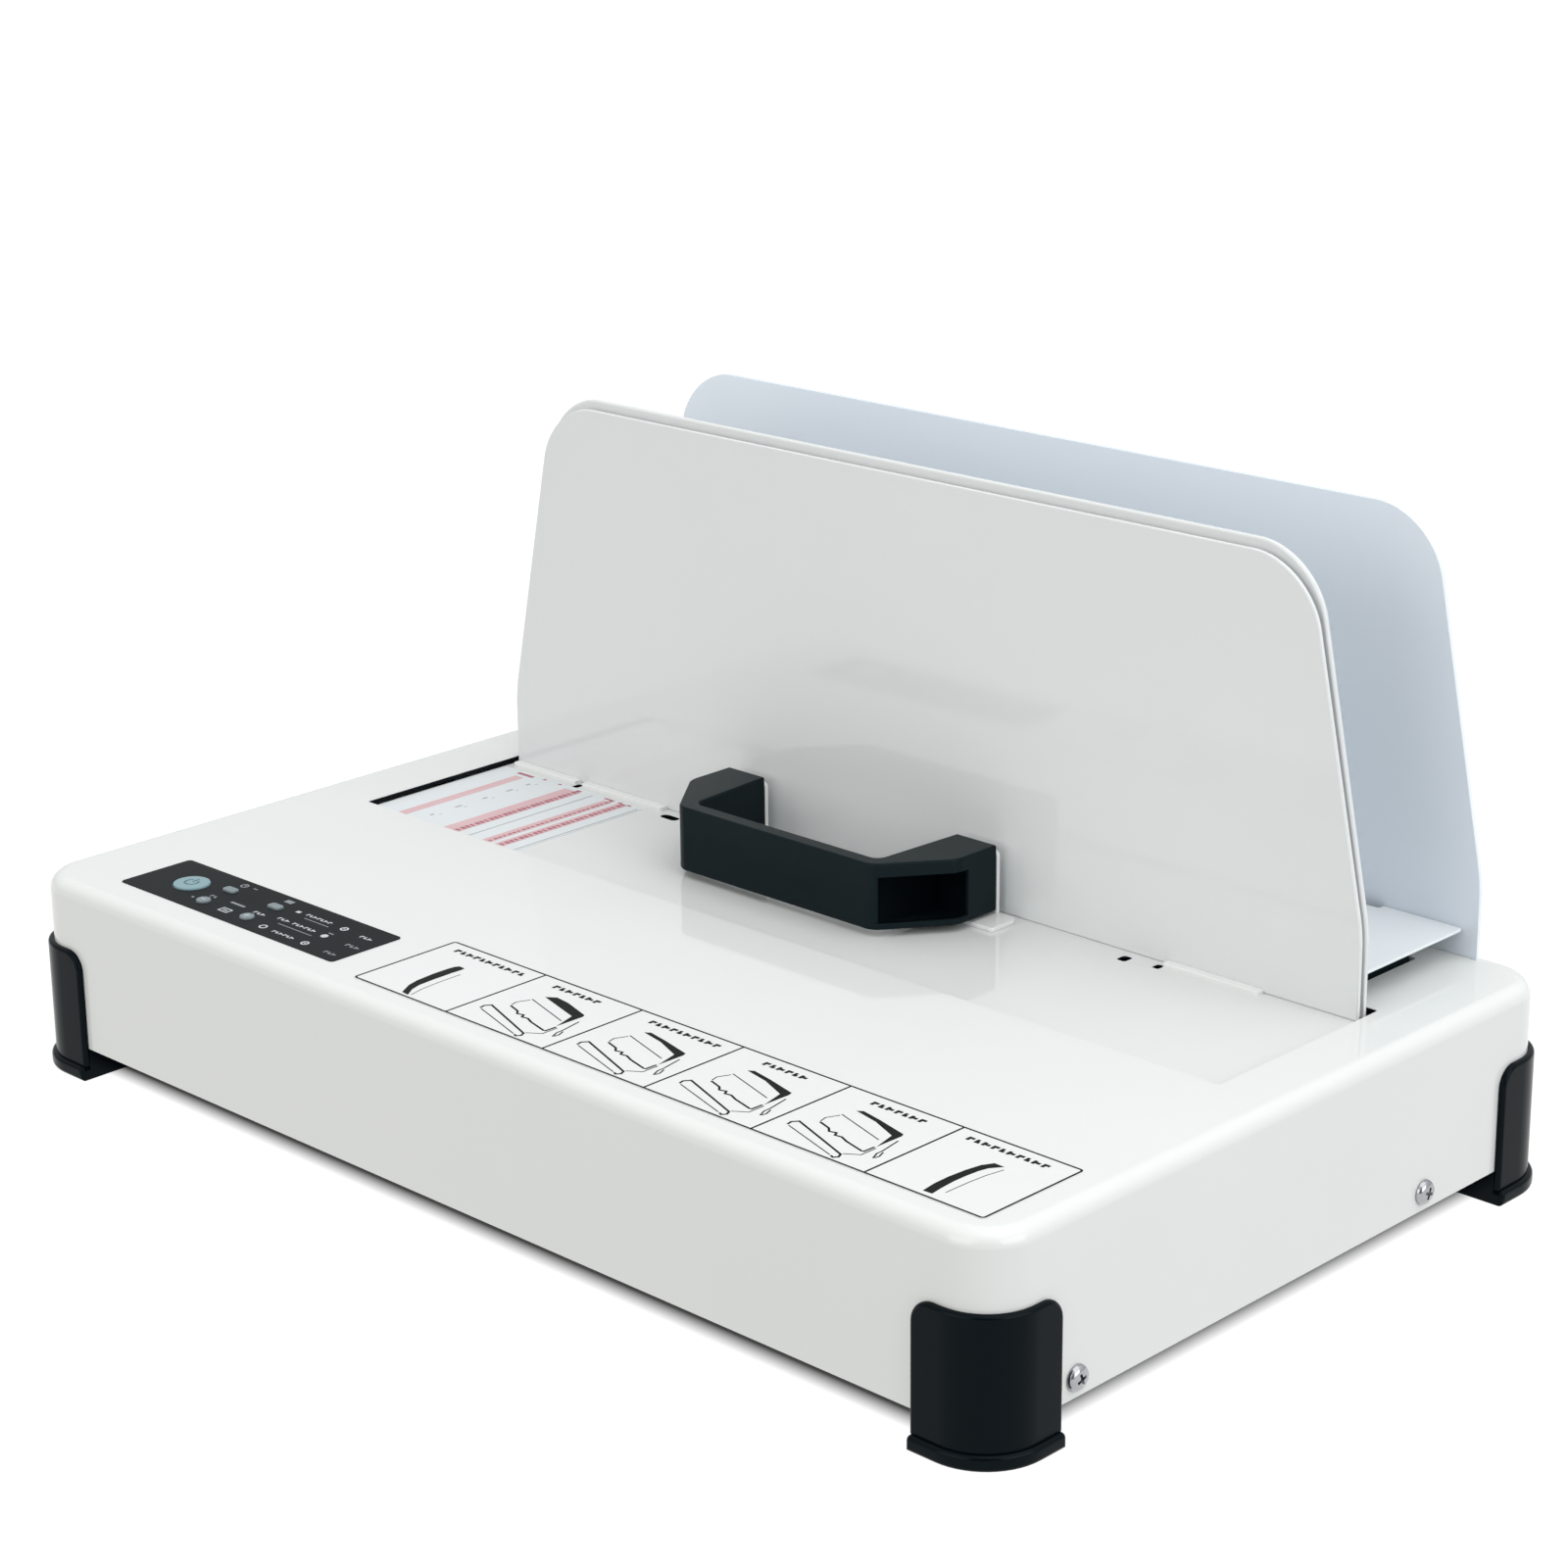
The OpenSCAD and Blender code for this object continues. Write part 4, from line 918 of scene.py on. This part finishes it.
# Strokes of an open folder, as width and points from the frame's front left corner
FINE, BOLD, SLIM = 0.4, 0.74, 0.5
FOLDER_STROKES = (
    (BOLD, ((5.4, 9.6), (5, 11.6), (6.4, 13.4), (30.5, 4.7), (31.2, 3), (30.3, 1.8), (29, 2.3))),
    (FINE, ((6.2, 9.3), (28.4, 2.5))),
    (BOLD, ((11, 17), (15.8, 15.5), (17.4, 13.9), (19.6, 14.6), (20.4, 13.1), (22.6, 13.5), (25.6, 12.2),
            (33.4, 10.2))),
    (FINE, ((10.7, 17.6), (10.1, 20.2), (12, 24.2))),
    (FINE, ((11.9, 25), (31.5, 19))),
    (BOLD, ((33.8, 10.1), (34, 14.6))),
    (FINE, ((30.6, 5.4), (34.8, 8.3), (34.9, 14.2))),
    (SLIM, ((36, 22.1), (37.4, 14.1), (37.4, 11.8), (38.7, 8.8))),
    (SLIM, ((38.2, 13.6), (39.2, 10.9), (38.9, 9.2))),
)
THICK_SPINE = ((13.5, 28.9), (16.6, 31.1), (22.4, 30.3), (33.2, 26.9), (33.9, 25.8), (33.6, 15), (31.1, 23.7),
               (27, 24.9))
THIN_SPINE = ((13.2, 29.6), (15, 30.8), (22.6, 29.3), (34.1, 26.4), (34.6, 25), (34.3, 15), (32.2, 23.6),
              (22.4, 27.6))
FIRST_STRIP = ((21.2, 1.9), (18.2, 7.2), (17.1, 11.4), (16.5, 18.5), (16.6, 24.5), (16.9, 26.9), (17.7, 28.3),
               (20.2, 28.2), (20.5, 26.8), (20.3, 23.2), (20.3, 15.5), (20.6, 9.3), (21.8, 5.4), (24.3, 1.6))
FIRST_HAIR = ((25, 2.3), (23.8, 7.8), (23.3, 15), (23.3, 23.8))
LAST_STRIP = ((19.6, 2.4), (18.8, 8), (18.7, 13.5), (19.2, 20), (20.2, 25.4), (22.1, 28.9), (25.7, 28.8),
              (23.1, 25.2), (22.3, 22), (21.9, 17.6), (21.8, 12.7), (22.2, 7), (22.8, 2.6))
LAST_HAIR = ((25, 5.6), (25.2, 14.9), (25.7, 21.2), (26.9, 27.3))


def make_instruction_film():
    x0, x1, y0, y1 = FILM
    bm = flat(corners_of(*FILM), 1.2, 6, TOP_Z)
    thicken(bm, FILM_T)
    finish(bm, "instruction_sheet", WHITE_FILM, "machine", ["instruction_film"], 0.06, 2)

    z = FILM_TOP
    line, hairline = 0.72, 0.3
    inset = line / 2
    starts = [x0 + (x1 - x0) / 6 * i for i in range(6)]
    lines = bmesh.new()
    border = flat(corners_of(x0 + inset, x1 - inset, y0 + inset, y1 - inset), 1.0, 5)
    edge_loop = [(v.co.x, v.co.y) for v in border.faces[:][0].verts]
    border.free()
    ribbon(lines, edge_loop, line, z, True)

    def from_corner(start, points):
        return [(start + px, y0 + py) for px, py in points]
    for start in starts[1:]:
        ribbon(lines, [(start, y0 + 0.75), (start, y1 - 0.75)], line, z)
    for start, spine in zip(starts[1:], (THICK_SPINE, THIN_SPINE, THIN_SPINE, THIN_SPINE)):
        for width, points in FOLDER_STROKES:
            ribbon(lines, from_corner(start, points), width, z)
        patch(lines, from_corner(start, spine), z)
    for start, strip, hair in ((starts[0], FIRST_STRIP, FIRST_HAIR), (starts[-1], LAST_STRIP, LAST_HAIR)):
        patch(lines, from_corner(start, strip), z)
        ribbon(lines, from_corner(start, hair), hairline, z)
    captions = ((6.2, 38.7), (9, 30.5), (8.4, 38.2), (12.9, 30.0), (12.6, 32.6), (5.4, 36.6))
    for start, (first, last) in zip(starts, captions):
        mark_row(lines, start + first, start + last, y1 - 5.2, 2.3, z, 0.5)
    printed(lines, "instruction_print", BLACK_INK, "machine")


# Start, middle line, length and depth of the panel's dashes
PALE_DASHES = ((-135.0, -111.7, 2.2, 0.6), (-115.6, -96.6, 1.9, 1.5), (-91.8, -96.6, 1.0, 0.5),
               (-91.2, -113.3, 1.0, 0.5))
DIM_DASHES = ((-143.4, -92.5, 1.9, 0.5), (-126.1, -92.6, 3.6, 2.2), (-152.6, -111.1, 1.2, 0.8),
              (-138.6, -105.6, 7.2, 1.1), (-108.7, -99.0, 12.2, 0.4), (-111.3, -107.8, 17.0, 0.4),
              (-92.2, -102.3, 2.4, 0.6))
# Start, end, middle line and height of its rows of signs
PALE_ROWS = ((-125.6, -119.8, -106.2, 1.5), (-110.6, -98.2, -96.3, 1.4), (-115.1, -110.0, -104.5, 1.5),
             (-107.6, -95.2, -104.5, 1.5), (-107.0, -95.0, -113.3, 1.4), (-82.2, -76.2, -97.4, 1.5))
DIM_ROWS = ((-148.6, -144.2, -106.2, 1.5), (-79.9, -73.6, -105.2, 1.7), (-80.3, -74.4, -113.7, 1.5))
# Middle, radius and line width of its rings
PALE_RINGS = ((-112.5, -112.9, 1.25, 0.6), (-91.3, -96.6, 1.2, 0.6), (-90.7, -113.3, 1.2, 0.6))
DIM_RINGS = ((-147.7, -92.9, 1.3, 0.5),)


def make_panel_print():
    z = FILM_TOP
    pale, dim = bmesh.new(), bmesh.new()
    for bm, dashes, rows, rings in ((pale, PALE_DASHES, PALE_ROWS, PALE_RINGS),
                                    (dim, DIM_DASHES, DIM_ROWS, DIM_RINGS)):
        for spot in dashes:
            dash(bm, *spot, z)
        for spot in rows:
            mark_row(bm, *spot, z)
        for spot in rings:
            ring(bm, *spot, z)
    ribbon(dim, [(-147.7, -91.9), (-147.7, -92.9), (-146.9, -92.9)], 0.3, z)
    ribbon(pale, corners_of(-136.0, -131.8, -113.0, -110.4), 0.5, z, True)
    dot(pale, -91.1, -105.0, 1.35, z)
    printed(pale, "panel_print", PALE_INK, "machine")
    printed(dim, "panel_print_dim", DIM_INK, "machine")

    sign = bmesh.new()
    x, y = POWER_AT
    ring(sign, x, y, 2.3, 0.8, SIGN_Z, 125, 415, 24)
    ribbon(sign, [(x, y + 0.4), (x, y + 3.2)], 0.8, SIGN_Z)
    printed(sign, "power_sign", BLUE_INK, "power_button")
    for name, (x, y) in DOT_KEYS.items():
        sign = bmesh.new()
        stroke, half = 0.4, 1.1
        ribbon(sign, [(x - half, y), (x + half, y)], stroke, SIGN_Z)
        if name == "more":
            for dy in (0.25, -0.25):
                ribbon(sign, [(x, y + dy), (x, y + dy * 4.4)], stroke, SIGN_Z)
        printed(sign, f"{name}_sign", PALE_INK, f"{name}_button")


def make_floor_label():
    x0, x1, y0, y1 = -185.5, -112.5, -21.5, 57.0
    low, top = FLOOR_Z, FLOOR_Z + 0.15
    bm = flat(corners_of(x0, x1, y0, y1), 1, 4, low)
    thicken(bm, top - low)
    finish(bm, "floor_paper", PAPER, "jaw", ["floor_label"], 0.04, 2)
    pink, red, grey = bmesh.new(), bmesh.new(), bmesh.new()
    for x, width, rear in ((-172.3, 4.2, 52), (-146.0, 8.0, 54), (-127.6, 4.4, 54), (-121.2, 4.4, 55)):
        patch(pink, corners_of(x - width / 2, x + width / 2, y0 + 2, rear), top)
    for x, width in ((-143.9, 2.4), (-127.0, 1.2), (-120.9, 2.2)):
        for i in range(34):
            start = y0 + 3 + i * 2.2
            length = (1.5, 1.2, 1.7)[i % 3]
            patch(red, corners_of(x - width / 2, x + width / 2, start, start + length), top + INK_T)
    patch(red, corners_of(-176.2, -168.0, 53.9, 55.6), top)
    for x, length in ((-163.6, 1.6), (-155.4, 1.4), (-131.2, 5.0), (-124.0, 1.8), (-119.6, 2.0)):
        patch(red, corners_of(x, x + length, 55.2, 56.3), top)
    for x in (-136.6, -113.6):
        ribbon(grey, [(x, y0 + 2), (x, 55)], 0.7, top)
    for y, length in ((1.4, 1.6), (13.0, 3.2), (26.0, 2.2), (37.4, 3.0), (46.9, 2.0)):
        patch(grey, corners_of(-163.8, -162.6, y, y + length), top)
        patch(grey, corners_of(-161.4, -160.9, y + 2.4, y + 3.8), top)
    printed(pink, "label_bands", PINK_INK, "jaw")
    printed(red, "label_dashes", RED_INK, "jaw")
    printed(grey, "label_lines", GREY_INK, "jaw")


# Rear fittings


def slab(x, half_w, half_h, y0, y1, corner):
    """Upright block between two depths from the rear wall, its edges along Y rounded."""
    bm = block(x - half_w, x + half_w, REAR_Y + y0, REAR_Y + y1, FITTING_Z - half_h, FITTING_Z + half_h)
    soften(bm, edges_along(bm, Y), corner, 4)
    return bm


def flanged(flange, body, rim):
    """A body with a flange whose front edges are rounded."""
    front = max(v.co.y for v in flange.verts) - 0.1
    soften(flange, edges_between(flange, Y, front), rim, 3)
    return join(flange, body)


def make_inlet():
    x, z = INLET_X, FITTING_Z
    mouth = flat([(-12.2, -8.3), (12.2, -8.3), (12.2, 3.3), (7.2, 8.3), (-7.2, 8.3), (-12.2, 3.3)], 0.8, 4)
    thicken(mouth, 15)
    stand_up(mouth, REAR_Y + 3)
    move(mouth, place(x, 0, z))
    bm = cut(flanged(slab(x, 16.5, 13, 0, 2, 2.5), slab(x, *INLET_HALF, -16, 0.5, 0.8), 0.6), mouth)
    finish(bm, "inlet_socket", GLOSS, "machine", ["mains_inlet"], smooth=32)
    pins = []
    for k in (-1, 0, 1):
        at_x, at_z = x + 7 * k, z + (2 if k == 0 else -2)
        pin = block(at_x - 1, at_x + 1, REAR_Y - 12, REAR_Y - 3.5, at_z - 2, at_z + 2)
        soften(pin, edges_between(pin, Y, REAR_Y - 4), 0.5, 3)
        pins.append(pin)
    finish(gather(*pins), "inlet_blades", STEEL, "machine", ["inlet_pins"])


def make_switch():
    x, z = SWITCH_X, FITTING_Z
    window = slab(x, 5.9, 9.3, -13, 4, 0.4)
    bm = cut(flanged(slab(x, 8.5, 12, 0, 1.6, 1.5), slab(x, *SWITCH_HALF, -15, 0.5, 0.5), 0.5), window)
    finish(bm, "switch_bezel", GLOSS, "machine", ["switch_frame"], smooth=32)

    half, middle = 8.4, 3.0
    rise = half * math.tan(math.radians(ROCKER_TILT))
    tip = middle + rise
    side = flat([(-4, 3 - half), (0, -half), (tip, -half), (middle, 0),
                 (tip, half), (0, half), (-4, half - 3)])
    round_corners(side, [v for v in side.verts if abs(v.co.x - tip) < 0.1], 0.7, 4)
    thicken(side, 11)
    soften(side, level_edges(side, Z), 0.4, 3)
    upright = Matrix(((0, 0, 1, -5.5), (1, 0, 0, 0), (0, 1, 0, 0), (0, 0, 0, 1)))
    rocker_place = turned(ROCKER_TILT, "X", (x, PIVOT_Y, z))
    key = move(side, rocker_place @ upright)
    pivot = move(spun([(0, -6.6), (1.3, -6.6), (1.5, -6.4), (1.5, 6.4), (1.3, 6.6), (0, 6.6)], 24),
                 rocker_place @ turned(90, "Y"))
    finish(gather(key, pivot), "switch_rocker", PLASTIC, "rocker", ["rocker_key"])

    line, circle = bmesh.new(), bmesh.new()
    ribbon(line, [(0, -1.5), (0, 1.5)], 0.6, 0)
    ring(circle, 0, 0, 1.5, 0.6, 0, steps=24)
    signs = []
    for end, sign in ((1, line), (-1, circle)):
        onto = turned(-end * ROCKER_TILT, "X", (0, middle + rise / 2, end * half / 2)) @ turned(-90, "X")
        signs.append(move(raised(sign), rocker_place @ onto))
    finish(gather(*signs), "rocker_signs", PALE_INK, "rocker")


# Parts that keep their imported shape

NODE_FINISHES = (
    (ZINC, ("base_pan", "rear_supports", "heating_element", "heater_legs", "plate_spacers")),
    (STEEL, ("foot_screws", "rear_plate_screws", "thermal_fuse", "guide_rods", "handle_screws")),
    (WHITE_PLASTIC, ("board_posts", "thermostat", "slide_blocks")),
    (PLASTIC, ("key_switches", "rod_holders")),
    (BOARD, ("control_board", "power_board")),
    (WOOL, ("heat_shield",)), (BRASS, ("board_standoffs",)), (GLOSS, ("relay",)), (WOUND, ("choke",)),
)


def finish_packed_nodes():
    for material, names in NODE_FINISHES:
        for name in names:
            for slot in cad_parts[name].material_slots:
                slot.material = material


# Camera, floor and light


def set_camera():
    data = bpy.data.cameras.new("camera")
    data.lens = 83.476
    data.sensor_width = 36
    data.clip_end = 60
    camera = bpy.data.objects.new("camera", data)
    right = (0.7187071, 0.6952431, -0.0098573)
    up = (-0.2108770, 0.2314592, 0.9497144)
    back = (0.6625640, -0.6804878, 0.3129622)
    at = (0.77582, -0.78371, 0.47795)
    camera.matrix_world = Matrix([(r, u, b, p) for r, u, b, p in zip(right, up, back, at)] + [(0, 0, 0, 1)])
    scene.collection.objects.link(camera)
    scene.camera = camera


def set_floor():
    bm = bmesh.new()
    half_size, below = 12, 0.0002
    bmesh.ops.create_grid(bm, x_segments=1, y_segments=1, size=half_size, matrix=place(0, 0, -below))
    mesh = as_mesh(bm, "floor")
    settings = {"Tone": rgb(0.1, 0.1, 0.1), "Shade": rgb(0.098, 0.098, 0.098), "Peel Scale": 60.0,
                "Smooth": 0.7, "Rough": 0.8}
    material = surface("pale_floor", COAT, settings, 0.01, 0.1, specular=0.1)
    tree = material.node_tree
    # The floor's glow fades under the machine's footprint: a painted contact shadow on the floor.
    glow_and_shadow = tree.nodes.new("ShaderNodeGroup")
    glow_and_shadow.node_tree = FLOOR_GLOW_SHADOW
    feed(glow_and_shadow, {"Half Width": HOUSING_W / 2 * MM, "Half Depth": HOUSING_D / 2 * MM})
    feed(tree.nodes["Principled BSDF"], {"Emission Color": glow_and_shadow.outputs["Color"], "Emission Strength": 0.97})
    mesh.materials.append(material)
    floor = bpy.data.objects.new("floor", mesh)
    floor.visible_diffuse = False
    scene.collection.objects.link(floor)


def facing_share(tree, view, way):
    """How far a direction looks along a way, from -1 to 1."""
    node = tree.nodes.new("ShaderNodeVectorMath")
    node.operation = "DOT_PRODUCT"
    feed(node, {0: view, 1: way})
    return node.outputs["Value"]


def add_panel_lamp(name, at, power):
    """A large soft lamp that shines at the middle of the machine."""
    lamp = bpy.data.lights.new(name, "AREA")
    lamp.shape = "RECTANGLE"
    lamp.size, lamp.size_y = 1.6, 1.2
    lamp.energy = power
    panel = bpy.data.objects.new(name, lamp)
    middle = Vector((0, 0, 0.08))
    aim = (Vector(at) - middle).to_track_quat("Z", "Y")
    panel.matrix_world = Matrix.Translation(at) @ aim.to_matrix().to_4x4()
    scene.collection.objects.link(panel)


def set_light():
    world = bpy.data.worlds.new("studio")
    scene.world = world
    world.use_nodes = True
    tree = world.node_tree
    view = tree.nodes.new("ShaderNodeTexCoord").outputs["Generated"]
    overhead = facing_share(tree, view, (0.2, 0.0, 0.98))
    dark_room = facing_share(tree, view, (0.6, -0.78, 0.2))
    strength = arithmetic(tree, "MULTIPLY", spread(tree, overhead, 0, 1, 0.64, 1.26),
                          spread(tree, dark_room, 0.7, 1, 1, 0.25))
    ahead = facing_share(tree, view, (-0.35, -0.93, 0.1))
    tint = blend(tree, spread(tree, ahead, 0, 1, 0, 1), rgb(0.97, 0.992, 1.0), rgb(1.0, 0.985, 0.94))
    feed(tree.nodes["Background"], {"Strength": strength, "Color": tint})

    add_panel_lamp("softbox", (0.7, 0.1, 1.6), 4.5)
    add_panel_lamp("front_fill", (0.0, -1.9, 0.7), 10.2)
    add_panel_lamp("side_fill", (1.9, 0.0, 0.8), 12)
    scene.view_settings.view_transform = "Standard"


make_housing_cover()
make_opening_shade_strips()
make_feet()
make_cover_screws()
make_plates()
make_jaw_floor()
make_handle_bracket()
make_handle()
make_book_rest()
make_heater_frame()
make_keys()
make_panel()
make_instruction_film()
make_panel_print()
make_floor_label()
make_inlet()
make_switch()
finish_packed_nodes()
set_camera()
set_floor()
set_light()
